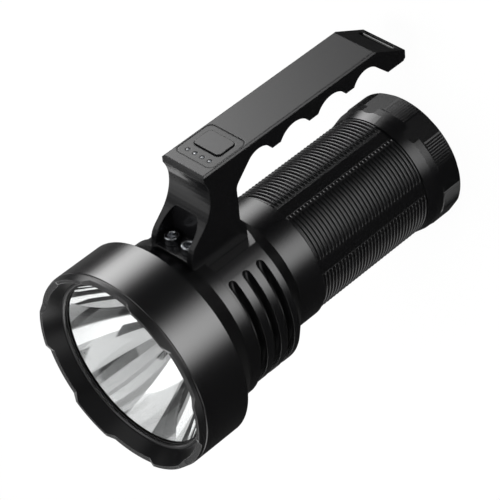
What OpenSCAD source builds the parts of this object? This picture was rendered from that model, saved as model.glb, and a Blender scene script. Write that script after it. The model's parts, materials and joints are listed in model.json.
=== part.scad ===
// Rechargeable flashlight with a one-piece top handle. Millimetres.
// The origin is the centre of the tail cap's rear face, on which the light stands.
// +Z runs along the beam to the front rim, and the handle lies toward +X.

/* [Tail cap] */
// Length of the tail cap along the beam axis
cap_len = 21.2; // [20:0.1:26]
// Radius of the cap over its knurled lands
cap_r = 33; // [32.6:0.1:35]
// Thickness of the cap's floor
cap_floor = 5; // [4.5:0.1:6]
// Length of the knurled band
knurl_len = 12; // [8:0.5:14]
// Number of flats round the cap
cap_flats = 8; // [6:1:10]
// Distance from the axis to each flat
cap_flat_r = 32.4; // [32.3:0.05:32.5]
// Knurl grooves on each land
knurl_count = 9; // [5:1:12]
// Depth of a knurl groove
knurl_depth = 0.45; // [0.2:0.05:0.6]
// Length of the front cone of the cap
cap_cone_len = 5.2; // [4:0.1:6]

/* [Battery tube] */
// Radius of the ribbed grip
tube_r = 31.3; // [31:0.1:31.9]
// Radius of the cell chamber
tube_bore_r = 27; // [26.7:0.1:27.4]
// Radius over the threads at both ends
thread_r = 29.3; // [29.1:0.1:29.8]
// Length of the threaded spigot inside the tail cap
tail_spigot_len = 14.5; // [13.5:0.1:15.2]
// Length of the threaded spigot inside the collar
front_spigot_len = 10; // [9:0.1:10.4]
// Distance from one rib to the next
rib_pitch = 2.19; // [2:0.01:3]
// Width of the groove between two ribs
rib_groove_w = 0.9; // [0.6:0.05:1.1]
// Depth of the groove between two ribs
rib_groove_depth = 0.5; // [0.3:0.05:0.7]
// Number of long channels round the grip
channel_count = 6; // [4:1:8]
// Width of a channel at the surface
channel_w = 8; // [5:0.1:10]
// Depth of a channel
channel_depth = 1.1; // [0.8:0.05:1.4]

/* [Neck] */
// Radius of the smooth collar
collar_r = 32.1; // [31.9:0.1:33]
// Length of the smooth collar
collar_len = 15.5; // [15:0.1:18]
// Length of the cone behind the fins
rear_cone_len = 9.6; // [9:0.1:11]
// Radius of the finned land
fin_r = 39.9; // [39:0.1:41]
// Length of the finned land
fin_len = 26; // [25.6:0.1:28]
// Width of a cooling slot
slot_w = 4.4; // [3.5:0.1:4.8]
// Distance from one cooling slot to the next
slot_pitch = 8.65; // [8.2:0.05:8.9]
// Depth of a cooling slot
slot_depth = 5; // [3.5:0.1:6]
// Number of cooling slots
slot_count = 3; // [1:1:3]
// Radius of the plain ring in front of the fins
neck_r = 41.2; // [40.2:0.1:42]
// Length of the plain ring in front of the fins
neck_len = 5.9; // [5.5:0.1:8]
// Length of the cone behind the head
flare_len = 10.9; // [10:0.1:13]
// Distance from the head's surface in to that cone's front edge
flare_inset = 1.6; // [1:0.1:3]
// Height of the flat handle seat above the beam axis
saddle_x = 36; // [35:0.1:37]

/* [Head] */
// Radius of the head barrel
head_r = 50; // [49.6:0.1:53]
// Length of the head barrel, rim teeth included
head_len = 30; // [29:0.1:34]
// Distance from the barrel's surface in to the rim's tips
rim_inset = 1; // [0.6:0.1:1.4]
// Distance from the barrel's surface in to the crater's mouth
crater_inset = 2.5; // [2:0.1:3.5]
// Depth of the crater in front of the glass ring
crater_depth = 8; // [7:0.1:9]
// Depth of the six low rim segments
notch_depth = 1.9; // [1:0.1:2.5]
// Distance from the barrel's surface in to the glass ring's bore
ring_inset = 8.1; // [7.8:0.1:8.3]
// Distance from the glass ring's bore in to the reflector's mouth
mouth_inset = 0.7; // [0.5:0.1:1.4]
// Radius of the reflector's rear hole
reflector_hole_r = 10.5; // [10.2:0.1:12]

/* [Handle] */
// Width of the handle
handle_w = 24.8; // [24:0.1:28]
// Height of the handle's top face above the beam axis
handle_top_x = 84.2; // [83.8:0.1:88]
// Height of the lands between the fingers above the beam axis
handle_under_x = 73.5; // [72.5:0.1:74]
// Distance between the two middle finger grooves
finger_pitch = 23.9; // [22:0.1:26]
// Distance from an end finger groove to the next one
end_pitch = 22.6; // [21.5:0.1:24]
// Radius of the two middle finger grooves
finger_r = 10.6; // [9.5:0.1:11]
// Radius of the two end finger grooves
end_finger_r = 9; // [8.5:0.1:9.5]
// Depth of a finger groove above the lands
finger_depth = 5.1; // [4:0.1:5.6]
// Depth of the lip at the handle's rear end below the lands
lip_drop = 5.1; // [3:0.1:6]
// Half width of the arched screw pocket
arch_r = 9.5; // [9.2:0.1:10.2]
// Half length of the lanyard slot
lanyard_half = 9.6; // [8:0.1:10]
// Width of the lanyard slot
lanyard_w = 5.8; // [5:0.1:6]

/* [Switch] */
// Length of the switch panel along the handle
panel_len = 22.4; // [21.5:0.1:24]
// Width of the switch panel
panel_w = 21.8; // [20.5:0.1:22.4]
// Length of the button along the handle
button_len = 11; // [9:0.1:11.5]
// Width of the button
button_w = 15.2; // [12:0.1:15.6]
// Travel of the button
button_travel = 0.8; // [0.5:0.1:0.9]
// Radius of an indicator light
dot_r = 0.9; // [0.6:0.05:1.1]
// Number of indicator lights
dot_count = 4; // [2:1:4]

/* [Cells] */
// Radius of a cell
cell_r = 10.85; // [10.5:0.05:10.9]
// Length of a cell
cell_len = 70; // [65:0.1:76]
// Room for the springs between the cell holder and the contact board
spring_room = 13.5; // [13.2:0.1:14.5]

/* [Hidden] */

$fn = 96;
// Overrun of every cut
over = 1;
// Radial clearance of a thread or another running fit
fit = 0.08;
// Gap between faces that nearly touch
gap = 0.1;
// Clearance round pieces that only lie near each other
clear = 0.3;
// Small bevel on outer edges
bevel = 0.5;
// Section radius of the seals
seal_r = 0.65;
// Depth and width of a seal groove
seal_groove_depth = 1.3;
seal_groove_w = 2;
// Thickness of every circuit board
board_t = 1.6;
// Radius of the small board screws, and of their heads
small_screw_r = 0.78;
small_head_r = 1.1;
small_head_h = 1.1;
small_screw_len = 5;

// Battery stack, from the tail forward
post_r = 2;
boss_r = 18;
boss_h = 2.9;
z_boss = cap_floor + boss_h;
z_tail_board = z_boss + gap;
tail_board_gap = 2;
tail_board_r = tube_bore_r - tail_board_gap;
tail_post_len = 4.3;
tail_post_pitch_r = 14;
z_stack = z_tail_board + board_t + tail_post_len + gap;
holder_r = tube_bore_r - 2 * clear;
holder_plate_t = 3;
z_cells = z_stack + holder_plate_t;
z_holder_front = z_cells + cell_len;
z_holder_end = z_holder_front + holder_plate_t;
holder_rod_r = 3;
cell_pitch_r = sqrt(2) * (cell_r + clear / 4);
stud_r = 6;
stud_t = 1.5;
contact_ring_in = 14;
contact_ring_out = 18;
contact_ring_t = 0.8;
screw_head_r = 2.75;
screw_head_h = 1.6;
rod_screw_r = 1.5;
rod_screw_len = 8;
tail_screw_r = 2;
tail_screw_head_r = 3.6;
tail_screw_head_h = 2.2;
tail_screw_depth = 2;

// Stations along the beam axis, from the tail forward
z_grip = cap_len + gap;
contact_seat_gap = 0.6;
z_contact = z_holder_end + spring_room + board_t;
z_socket = z_contact - board_t - contact_seat_gap + gap;
z_collar = z_socket - front_spigot_len - contact_seat_gap + gap;
grip_len = z_collar - z_grip;
z_cone = z_collar + collar_len;
z_fin = z_cone + rear_cone_len;
shadow_w = 0.6;
shadow_depth = 1;
first_slot_back = 3.1;
z_shadow = z_fin + fin_len;
z_neck = z_shadow + shadow_w;
z_flare = z_neck + neck_len;
z_head = z_flare + flare_len;
z_front = z_head + head_len;

// Head and glass stack, from the rim back
rim_r = head_r - rim_inset;
crater_r = head_r - crater_inset;
ring_in_r = head_r - ring_inset;
mouth_r = ring_in_r - mouth_inset;
ring_t = 1.4;
ring_w = 1.6;
ring_bore_r = ring_in_r + ring_w;
gasket_t = 0.6;
lens_t = 2;
flange_t = 1.4;
reflector_t = 1.2;
z_ring = z_front - crater_depth;
z_gasket = z_ring - ring_t;
z_lens = z_gasket - gasket_t;
z_mouth = z_lens - lens_t;
z_flange = z_mouth - flange_t;
throat_gap = 1;
throat_r = mouth_r + throat_gap;
rim_bevel_len = 3.6;
spigot_inset = 4.1;
spigot_r = head_r - spigot_inset;
flare_r = head_r - flare_inset;
spigot_len = 6.6;
spigot_gap = 0.5;

// Inside of the neck
driver_bore_r = 24.4;
parts_bore_r = 21;
driver_gap = 11.4;
z_driver = z_contact + driver_gap;
parts_room = 14.5;
z_shelf_rear = z_driver + parts_room;
shelf_t = 6.5;
z_shelf = z_shelf_rear + shelf_t;
seat_ring_h = 2.2;
z_hole = z_shelf + seat_ring_h;
contact_board_r = tube_bore_r - clear;
driver_board_r = driver_bore_r - clear;
contact_screw_r = (driver_bore_r + tube_bore_r) / 2;
driver_screw_r = (parts_bore_r + driver_bore_r) / 2;
board_screw_count = 3;

// Paraboloid through the mouth and the rear hole, and the emitter at its focus
focal = (mouth_r * mouth_r - reflector_hole_r * reflector_hole_r) / (4 * (z_mouth - z_hole));
z_vertex = z_hole - reflector_hole_r * reflector_hole_r / (4 * focal);
led_h = 1;
dome_r = 2.6;
z_focus = z_vertex + focal;
z_led_board = z_focus - led_h - board_t;
pedestal_gap = 1.1;
pedestal_r = reflector_hole_r - pedestal_gap;
led_board_r = pedestal_r - clear;
led_size = 7;
led_wire_x = 6.9;
led_wire_r = 0.7;
led_screw_y = 6.3;

// Cap: radius of the plain band and the angle of the first flat
cap_band_r = (cap_r + 2 * cap_flat_r) / 3;
cap_turn = -29.8;

// Springs between the cell holder and the front contact board
spring_wire_r = 0.5;
spring_taper = 1;
spring_turns = 4;
center_spring_r = 5;
outer_spring_r = 3;
spring_pitch_r = 16;
spring_count = 3;

// Charging inlet on the side away from the handle
port_x = -(collar_r + clear);
port_half_w = 7.5;
port_len = 10;
port_shell_w = 8.9;
port_shell_h = 3.2;
port_shell_len = 8;
port_wall = 0.3;
charge_board_t = 1;
charge_half_w = 6;
charge_board_len = 13.6;
z_port_roof = z_driver - board_t - clear / 2;
z_charge = z_port_roof - port_shell_h - charge_board_t - gap;
z_port = z_charge + charge_board_t + port_shell_h / 2;
cover_t = 2.4;
cover_plug_depth = 0.8;
cover_hinge_z = z_cone + clear;
cover_hinge_x = port_x - gap - cover_t / 2;
strap_t = 1.2;
strap_half_w = 3;
strap_len = 5;
strap_z = cover_hinge_z - cover_t / 2 - gap - strap_len / 2;
strap_plug_x = -collar_r + 2 * strap_t;

// Handle outline: stations along the beam axis and heights above it
pillar_step = 3.3;
foot_lap = 1.4;
pillar_rear_z = z_fin + pillar_step;
foot_rear_z = z_fin;
foot_front_z = z_flare + foot_lap;
groove_top_x = handle_under_x + finger_depth;
end_groove_x = groove_top_x - end_finger_r;
groove_x = groove_top_x - finger_r;
groove_a_back = 15.1;
groove_a_z = pillar_rear_z - groove_a_back;
groove_b_z = groove_a_z - end_pitch;
groove_c_z = groove_b_z - finger_pitch;
groove_d_z = groove_c_z - end_pitch;
lip_x = handle_under_x - lip_drop;
lip_len = 10.5;
end_tangent_x = end_groove_x + end_finger_r * cos(45);
d_tangent_z = groove_d_z - end_finger_r * cos(45);
a_tangent_z = groove_a_z + end_finger_r * cos(45);
lip_front_z = d_tangent_z - (end_tangent_x - lip_x);
tail_edge = 1.3;
lip_rear_z = lip_front_z - lip_len;
tail_z = lip_rear_z - tail_edge;
bend_drop = 10.3;
bend_run = 19.6;
half_chord = sqrt(end_finger_r * end_finger_r - pow(handle_under_x - end_groove_x, 2));
web_r = 5;
toe_r = 10.8;
toe_x = 43.7;
brow_r = 22.5;
brow_x = 72;
brow_ahead = 7.7;
brow_z = foot_front_z + brow_ahead;
lip_r = 15.9;
lip_angle = 32;
heel_x = 43.5;
heel_top_x = 48.5;
top_bevel = 0.8;
arch_floor_x = 43.5;
arch_back = 11.5;
arch_mid_x = arch_floor_x + arch_r - 0.5 * bevel;
screw_y = 5.2;
screw_back = 5.8;
screw_z = foot_front_z - screw_back;
handle_screw_r = 2;
handle_head_r = 3.5;
handle_head_h = 4;
hex_r = 1.75;
hex_depth = 2.2;
handle_screw_len = 13;
pin_r = 2;
pin_len = 9;
pin_y = 7.5;
pin_ahead = 4.5;
pin_z = foot_rear_z + pin_ahead;
wire_bore_r = 1.9;
wire_back = 4.5;
wire_z = z_shelf_rear - wire_back;
wire_r = 0.6;
wire_y = 0.9;
wire_x = 19;
ring_seat_r = 3.4;
lanyard_land = 0.7;
lanyard_z = lip_rear_z + lanyard_land + lanyard_w / 2;
bar_r = 1.1;
bar_drop = 1.6;
bar_back = 1.2;
bar_edge = 1;
bar_x = end_tangent_x - bar_drop;
bar_z = lanyard_z - bar_back;
bar_half = handle_w / 2 - bar_edge;

// Switch stack, from the top face down
panel_ahead = 4.3;
panel_z = foot_rear_z + panel_ahead;
panel_t = 1.8;
panel_corner = 3;
panel_recess = 0.2;
panel_top_x = handle_top_x - panel_recess;
panel_x = panel_top_x - panel_t;
panel_gasket_t = 0.4;
seat_x = panel_x - panel_gasket_t;
well_len = 18.4;
well_w = 18;
well_ahead = 0.2;
well_depth = 3.8;
well_z = panel_z + well_ahead;
well_x = seat_x - well_depth;
switch_board_t = 1;
button_back = 2.3;
button_z = panel_z - button_back;
button_corner = 2;
button_gap = 0.25;
button_proud = 0.7;
flange_lap = 0.9;
button_flange_t = 0.8;
button_top_x = panel_top_x + button_proud;
button_flange_x = panel_x - clear / 2;
button_x = button_flange_x - button_flange_t;
plunger_top_x = button_x - button_travel - gap;
dot_ahead = 7.4;
dot_z = panel_z + dot_ahead;
dot_pitch = 4.33;

// Arc as points in the handle's side view: along the beam axis, then height
function arc(cz, cx, r, a0, a1, n) =
    [for (i = [0:n]) [cz + r * cos(a0 + (a1 - a0) * i / n), cx + r * sin(a0 + (a1 - a0) * i / n)]];

// Radius of the reflecting surface at a station
function dish_r(z) = sqrt(4 * focal * (z - z_vertex));

// Tube or disc round the beam axis
module ring(z0, z1, r_in, r_out) {
    difference() {
        translate([0, 0, z0]) cylinder(h = z1 - z0, r = r_out);
        if (r_in > 0) translate([0, 0, z0 - over]) cylinder(h = z1 - z0 + 2 * over, r = r_in);
    }
}

// Round seal lying round the beam axis
module seal(z, floor_r) {
    rotate_extrude() translate([floor_r + seal_r + 0.01 * seal_r, z]) circle(r = seal_r, $fn = 32);
}

// Rod along the beam axis at a place
module post(x, y, z0, z1, r) {
    translate([x, y, z0]) cylinder(h = z1 - z0, r = r, $fn = 32);
}

// Rod across the handle's height, along X
module rod_x(x0, x1, y, z, r) {
    translate([x0, y, z]) rotate([0, 90, 0]) cylinder(h = x1 - x0, r = r, $fn = 48);
}

// Rod across the handle's width, along Y
module rod_y(y0, y1, x, z, r) {
    translate([x, y0, z]) rotate([-90, 0, 0]) cylinder(h = y1 - y0, r = r);
}

// Plate that faces X: its outline is given as width along Y and length along Z
module plate_x(x0, x1) {
    translate([x0, 0, 0]) rotate([90, 0, 90]) linear_extrude(x1 - x0) children();
}

// Plate that faces Y, drawn in the handle's side view
module plate_y(half) {
    rotate([-90, 0, 0]) rotate([0, 0, -90]) translate([0, 0, -half]) linear_extrude(2 * half) children();
}

// Rectangle with round corners, centred
module soft_rect(w, h, r) {
    square([w - 2 * r, h], center = true);
    square([w, h - 2 * r], center = true);
    for (x = [-1, 1], y = [-1, 1]) translate([x * (w / 2 - r), y * (h / 2 - r)]) circle(r = r, $fn = 48);
}

// Puts its children at equal angles round the beam axis
module around(n, first = 0) {
    for (i = [0 : n - 1]) rotate(first + 360 * i / n) children();
}

// Unbroken coil of round wire, made of rings of six points, closed at both ends
module coil(r0, r1, z0, z1, turns, wire) {
    rings = 8 * turns;
    sides = 6;
    rise = (z1 - z0) / rings;
    points = [for (i = [0:rings]) let (a = 45 * i, r = r0 + (r1 - r0) * i / rings)
        for (j = [0 : sides - 1]) let (q = r + wire * cos(360 * j / sides))
            [q * cos(a), q * sin(a), z0 + rise * i + wire * sin(360 * j / sides)]];
    walls = [for (i = [0 : rings - 1], j = [0 : sides - 1]) let (k = (j + 1) % sides)
        each [[i * sides + j, i * sides + k, (i + 1) * sides + k],
            [i * sides + j, (i + 1) * sides + k, (i + 1) * sides + j]]];
    first_cap = [for (j = [1 : sides - 2]) [0, j + 1, j]];
    last = rings * sides;
    last_cap = [for (j = [1 : sides - 2]) [last, last + j, last + j + 1]];
    polyhedron(points = points, faces = concat(walls, first_cap, last_cap));
    echo(str("coil gap between turns, mm: ", 8 * rise - 2 * wire));
}

// Head barrel with its crater and crenellated rim
module head_shell() {
    rim_share = 13;
    ramp_share = 17;
    color("#2b2c2d") difference() {
        rotate_extrude($fn = 180) polygon([[spigot_r + fit, z_head], [head_r - bevel, z_head],
            [head_r, z_head + bevel], [head_r, z_front - rim_bevel_len], [rim_r, z_front],
            [crater_r, z_front], [ring_bore_r + fit, z_ring], [ring_bore_r + fit, z_flange],
            [throat_r, z_flange], [throat_r, z_head + spigot_len + spigot_gap],
            [spigot_r + fit, z_head + spigot_len + spigot_gap]]);
        around(6) translate([0, 0, z_front - notch_depth]) rotate([90, 0, 90])
            linear_extrude(head_r + over) polygon([[-rim_r * tan(rim_share), 0], [rim_r * tan(rim_share), 0],
                [rim_r * tan(ramp_share), notch_depth + gap], [-rim_r * tan(ramp_share), notch_depth + gap]]);
    }
}

// Threaded ring in front of the glass
module lens_ring() {
    color("#8f9192") rotate_extrude($fn = 180) polygon([[ring_in_r, z_gasket], [ring_bore_r, z_gasket],
        [ring_bore_r, z_ring], [ring_in_r + bevel, z_ring], [ring_in_r, z_ring - bevel]]);
}

module lens_gasket() {
    color("#161616") ring(z_lens, z_gasket, ring_in_r - bevel, ring_bore_r - gap);
}

module front_lens() {
    color("#dfe8ec", 0.35) ring(z_mouth, z_lens, 0, ring_bore_r - gap);
}

// Deep paraboloid with a flange at the mouth
module reflector() {
    steps = 18;
    inner = [for (i = [0:steps]) let (z = z_hole + (z_mouth - z_hole) * i / steps) [dish_r(z), z]];
    outer = [for (i = [0:steps]) let (z = z_flange - (z_flange - z_hole) * i / steps)
        [dish_r(z) + reflector_t, z]];
    color("#e8e8e6") rotate_extrude($fn = 180) polygon(concat(inner,
        [[ring_bore_r - gap, z_mouth], [ring_bore_r - gap, z_flange]], outer));
}

// Plastic ring that centres the reflector's rear end
module led_seat_ring() {
    color("#e6e4da") ring(z_shelf, z_hole, pedestal_r + gap, reflector_hole_r + 2 * reflector_t);
}

module led_emitter() {
    color("#d9c93a") {
        translate([-led_size / 2, -led_size / 2, z_led_board + board_t]) cube([led_size, led_size, led_h]);
        intersection() {
            translate([0, 0, z_focus]) sphere(r = dome_r);
            ring(z_focus - led_h / 2, z_focus + dome_r, 0, led_size / 2);
        }
    }
}

module led_board() {
    color("#b87333") difference() {
        ring(z_led_board, z_led_board + board_t, 0, led_board_r);
        for (s = [-1, 1]) {
            post(s * led_wire_x, 0, z_led_board - over, z_focus, led_wire_r + clear);
            post(0, s * led_screw_y, z_led_board - over, z_focus, small_screw_r + gap);
        }
    }
}

module led_board_screws() {
    color("#b9b9b4") for (s = [-1, 1]) {
        post(0, s * led_screw_y, z_led_board - small_screw_len + board_t, z_led_board + board_t, small_screw_r);
        post(0, s * led_screw_y, z_led_board + board_t, z_led_board + board_t + small_head_h, small_head_r);
    }
}

module led_wires() {
    color("#b03028") for (s = [-1, 1])
        post(s * led_wire_x, 0, z_driver, z_led_board + board_t + led_h / 2, led_wire_r);
}

module head_seal() {
    color("#141414") seal(z_head + spigot_len / 2, spigot_r - seal_groove_depth);
}

// One cooling slot: a round-bottomed ring cut that runs out at both ends like a disc cutter's path
module cooling_slot(z) {
    floor_r = fin_r - slot_depth;
    cutter_r = 3 * slot_depth;
    plunge = 0.03 * slot_depth;
    cutter_w = 0.97 * slot_w;
    reach = floor_r + cutter_r - plunge;
    run_out = acos((reach * reach + fin_r * fin_r - cutter_r * cutter_r) / (2 * reach * fin_r));
    tip_angle = 35.3;
    end_angle = tip_angle + run_out;
    translate([0, 0, z]) {
        difference() {
            rotate_extrude() {
                translate([floor_r + slot_w / 2, -slot_w / 2]) square([slot_depth + over, slot_w]);
                translate([floor_r + slot_w / 2, 0]) circle(r = slot_w / 2, $fn = 48);
            }
            translate([0, 0, -slot_w]) linear_extrude(2 * slot_w) polygon([[0, 0],
                [2 * fin_r * cos(end_angle), -2 * fin_r * sin(end_angle)], [2 * fin_r, 0],
                [2 * fin_r * cos(end_angle), 2 * fin_r * sin(end_angle)]]);
        }
        for (s = [-1, 1]) rotate(s * end_angle) translate([reach, 0, 0]) rotate_extrude() {
            translate([0, -cutter_w / 2]) square([cutter_r - cutter_w / 2, cutter_w]);
            translate([cutter_r - cutter_w / 2, 0]) circle(r = cutter_w / 2, $fn = 48);
        }
    }
}

// Outline of the neck, collar and head spigot round the beam axis
module neck_solid(grow = 0) {
    rotate_extrude($fn = 180) polygon([[0, z_collar], [collar_r + grow - bevel, z_collar],
        [collar_r + grow, z_collar + bevel], [collar_r + grow, z_cone], [fin_r + grow, z_fin],
        [fin_r + grow, z_shadow], [fin_r - shadow_depth + grow, z_shadow],
        [fin_r - shadow_depth + grow, z_neck - grow], [neck_r + grow, z_neck - grow],
        [neck_r + grow, z_flare], [flare_r + grow, z_head], [spigot_r, z_head],
        [spigot_r, z_head + spigot_len], [0, z_head + spigot_len]]);
}

// Space above the flat handle seat, between the collar and the plain ring
module saddle_cut(shrink = 0) {
    translate([saddle_x, -fin_r, z_cone]) cube([fin_r, 2 * fin_r, z_neck - shrink - z_cone]);
}

// Finned neck: carries the head, the tube, the handle and the electronics
module heat_sink_body() {
    steps = 8;
    z_dish_end = z_head + spigot_len + over;
    well_r = reflector_hole_r + 2 * reflector_t + gap;
    dish = [for (i = [0:steps]) let (z = z_hole + (z_dish_end - z_hole) * i / steps)
        [max(well_r, dish_r(z) + 2 * reflector_t), z]];
    seal_z = z_head + spigot_len / 2;
    slot_z = z_shadow - first_slot_back;
    color("#303132") difference() {
        union() {
            difference() {
                // A quarter turn takes the seam of the turned body off the handle seat
                rotate(90) neck_solid();
                rotate_extrude($fn = 128) polygon(concat([[0, z_shelf], [well_r, z_shelf]], dish,
                    [[0, z_dish_end]]));
            }
            ring(z_shelf, z_led_board, 0, pedestal_r);
        }
        translate([0, 0, z_collar - over]) cylinder(h = z_socket - z_collar + over, r = thread_r + fit);
        translate([0, 0, z_socket - gap]) cylinder(h = z_contact - z_socket + gap, r = tube_bore_r);
        translate([0, 0, z_contact - gap]) cylinder(h = z_driver - z_contact + gap, r = driver_bore_r);
        translate([0, 0, z_driver - gap]) cylinder(h = z_shelf_rear - z_driver + gap, r = parts_bore_r);
        ring(seal_z - seal_groove_w / 2, seal_z + seal_groove_w / 2, spigot_r - seal_groove_depth, head_r);
        for (i = [0 : slot_count - 1]) cooling_slot(slot_z - i * slot_pitch);
        saddle_cut();
        for (s = [-1, 1]) {
            post(s * led_wire_x, 0, z_shelf_rear - over, z_led_board + over, led_wire_r + clear);
            post(0, s * led_screw_y, z_led_board - small_screw_len, z_led_board + over, small_screw_r + fit / 4);
            rod_x(saddle_x - handle_screw_len + arch_floor_x - saddle_x - gap, neck_r + over, s * screw_y,
                screw_z, handle_screw_r + fit / 4);
            rod_x(saddle_x - pin_len / 2 - gap, saddle_x + over, s * pin_y, pin_z, pin_r + fit / 4);
        }
        rod_x(parts_bore_r - over, saddle_x + over, 0, wire_z, wire_bore_r);
        around(board_screw_count, 90) {
            post(contact_screw_r, 0, z_contact - over, z_contact + small_screw_len, small_screw_r + fit / 4);
            post(driver_screw_r, 0, z_driver - over, z_driver + small_screw_len, small_screw_r + fit / 4);
        }
        plate_x(port_x, -driver_bore_r + over) translate([0, (z_charge + z_port_roof) / 2])
            square([2 * (charge_half_w + clear), z_port_roof - z_charge], center = true);
        translate([-fin_r - over, -port_half_w, z_cone])
            cube([fin_r + over + port_x, 2 * port_half_w, port_len]);
        rod_x(port_x - over, strap_plug_x + gap, 0, strap_z, rod_screw_r + gap);
    }
}

module driver_board() {
    color("#1f5b3a") difference() {
        ring(z_driver - board_t, z_driver, 0, driver_board_r);
        around(board_screw_count, 90)
            post(driver_screw_r, 0, z_driver - board_t - over, z_driver + over, small_screw_r + gap);
    }
}

// Inductor, two capacitors and three power packages on the board's front, a controller behind
module driver_components() {
    coil_r = 6;
    coil_h = 5;
    can_r = 3.2;
    can_h = 9;
    chip_w = 5;
    chip_t = 1.2;
    color("#3a3a3c") {
        translate([0, 2 * coil_r, z_driver]) difference() {
            cylinder(h = coil_h, r = coil_r);
            translate([0, 0, -over]) cylinder(h = coil_h + 2 * over, r = coil_r / 2);
        }
        for (s = [-1, 1]) post(-3.6 * can_r, s * 1.2 * can_r - 2 * can_r, z_driver, z_driver + can_h, can_r);
        for (i = [0:2]) translate([1.8 * chip_w - i * 1.3 * chip_w, -2.8 * chip_w, z_driver])
            cube([chip_w, chip_w, chip_t]);
        translate([-chip_w / 2, -chip_w / 2, z_driver - board_t - chip_t]) cube([chip_w, chip_w, chip_t]);
    }
}

// Small screws, with the head behind the board that they hold
module board_screws(z, pitch_r) {
    around(board_screw_count, 90) {
        post(pitch_r, 0, z - board_t, z - board_t + small_screw_len, small_screw_r);
        post(pitch_r, 0, z - board_t - small_head_h, z - board_t, small_head_r);
    }
}

module driver_screws() {
    color("#b9b9b4") board_screws(z_driver, driver_screw_r);
}

module contact_board() {
    color("#1f5b3a") difference() {
        ring(z_contact - board_t, z_contact, 0, contact_board_r);
        around(board_screw_count, 90)
            post(contact_screw_r, 0, z_contact - board_t - over, z_contact + over, small_screw_r + gap);
    }
}

module contact_board_screws() {
    color("#b9b9b4") board_screws(z_contact, contact_screw_r);
}

// A conical spring on the beam axis and three smaller ones round it
module contact_springs() {
    top = z_contact - board_t - spring_wire_r - gap / 2;
    color("#d4af37") {
        coil(center_spring_r - spring_taper, center_spring_r, z_holder_end + stud_t + spring_wire_r + gap, top,
            spring_turns, spring_wire_r);
        around(spring_count, 30) translate([spring_pitch_r, 0, 0]) coil(outer_spring_r - spring_taper, outer_spring_r,
            z_holder_end + contact_ring_t + spring_wire_r + gap, top, spring_turns, spring_wire_r);
    }
}

// Socket of the charging inlet: metal shell, tongue and rear wall
module charge_port() {
    x_mouth = port_x + cover_plug_depth + clear;
    corner = port_shell_h / 2 - gap / 2;
    color("#b9bcc0") {
        difference() {
            plate_x(x_mouth, x_mouth + port_shell_len) translate([0, z_port])
                soft_rect(port_shell_w, port_shell_h, corner);
            plate_x(x_mouth - over, x_mouth + port_shell_len - bevel) translate([0, z_port])
                soft_rect(port_shell_w - 2 * port_wall, port_shell_h - 2 * port_wall, corner - port_wall);
        }
        plate_x(x_mouth + bevel, x_mouth + port_shell_len - bevel) translate([0, z_port])
            square([port_shell_w - 4 * port_wall - 2 * bevel, 2 * port_wall], center = true);
    }
}

module charge_board() {
    x_mouth = port_x + cover_plug_depth + clear;
    color("#1f5b3a") plate_x(x_mouth, x_mouth + charge_board_len)
        translate([0, z_charge + charge_board_t / 2]) square([2 * charge_half_w, charge_board_t], center = true);
}

// Four pins that join the charging board to the driver board above it
module charge_pins() {
    pin_inset = 1;
    pin_x = port_x + cover_plug_depth + charge_board_len - pin_inset;
    color("#d4af37") for (i = [-1.5:1:1.5])
        post(pin_x, i * charge_half_w / 3, z_charge + charge_board_t, z_driver - board_t, charge_board_t / 2.5);
}

// Rubber cover over the inlet, shut: flap rounded about its hinge line, plug, and a pull at its front
module port_cover() {
    flap_half_w = port_half_w - clear;
    z1 = z_cone + port_len - clear - gap;
    color("#202021") {
        plate_x(port_x - gap - cover_t, port_x - gap) translate([-flap_half_w, cover_hinge_z])
            square([2 * flap_half_w, z1 - cover_hinge_z]);
        rod_y(-flap_half_w, flap_half_w, cover_hinge_x, cover_hinge_z, cover_t / 2);
        plate_x(port_x - gap - over / 2, port_x + cover_plug_depth) translate([0, (z_charge + z_port_roof) / 2])
            soft_rect(2 * charge_half_w - clear, z_port_roof - z_charge - 2 * clear, strap_t);
        rod_y(-flap_half_w / 2, flap_half_w / 2, port_x - gap - cover_t, z1 - strap_t, strap_t / 2);
    }
}

// Rubber strap that holds the cover, with its plug in the collar
module port_cover_strap() {
    color("#202021") {
        plate_x(-collar_r - gap - strap_t, -collar_r - gap) translate([0, strap_z])
            soft_rect(2 * strap_half_w, strap_len, strap_t);
        rod_x(-collar_r - gap - strap_t / 2, strap_plug_x, 0, strap_z, rod_screw_r);
    }
}

module front_tube_seal() {
    color("#141414") seal(z_collar + 1.5 * seal_groove_w, thread_r - seal_groove_depth);
}

module tail_tube_seal() {
    color("#141414") seal(z_grip - 1.5 * seal_groove_w, thread_r - seal_groove_depth);
}

// Two corner points of each side of a seal groove, for an outline drawn forward
function seal_groove(z) = [[thread_r, z - seal_groove_w / 2],
    [thread_r - seal_groove_depth, z - seal_groove_w / 2],
    [thread_r - seal_groove_depth, z + seal_groove_w / 2], [thread_r, z + seal_groove_w / 2]];

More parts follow.
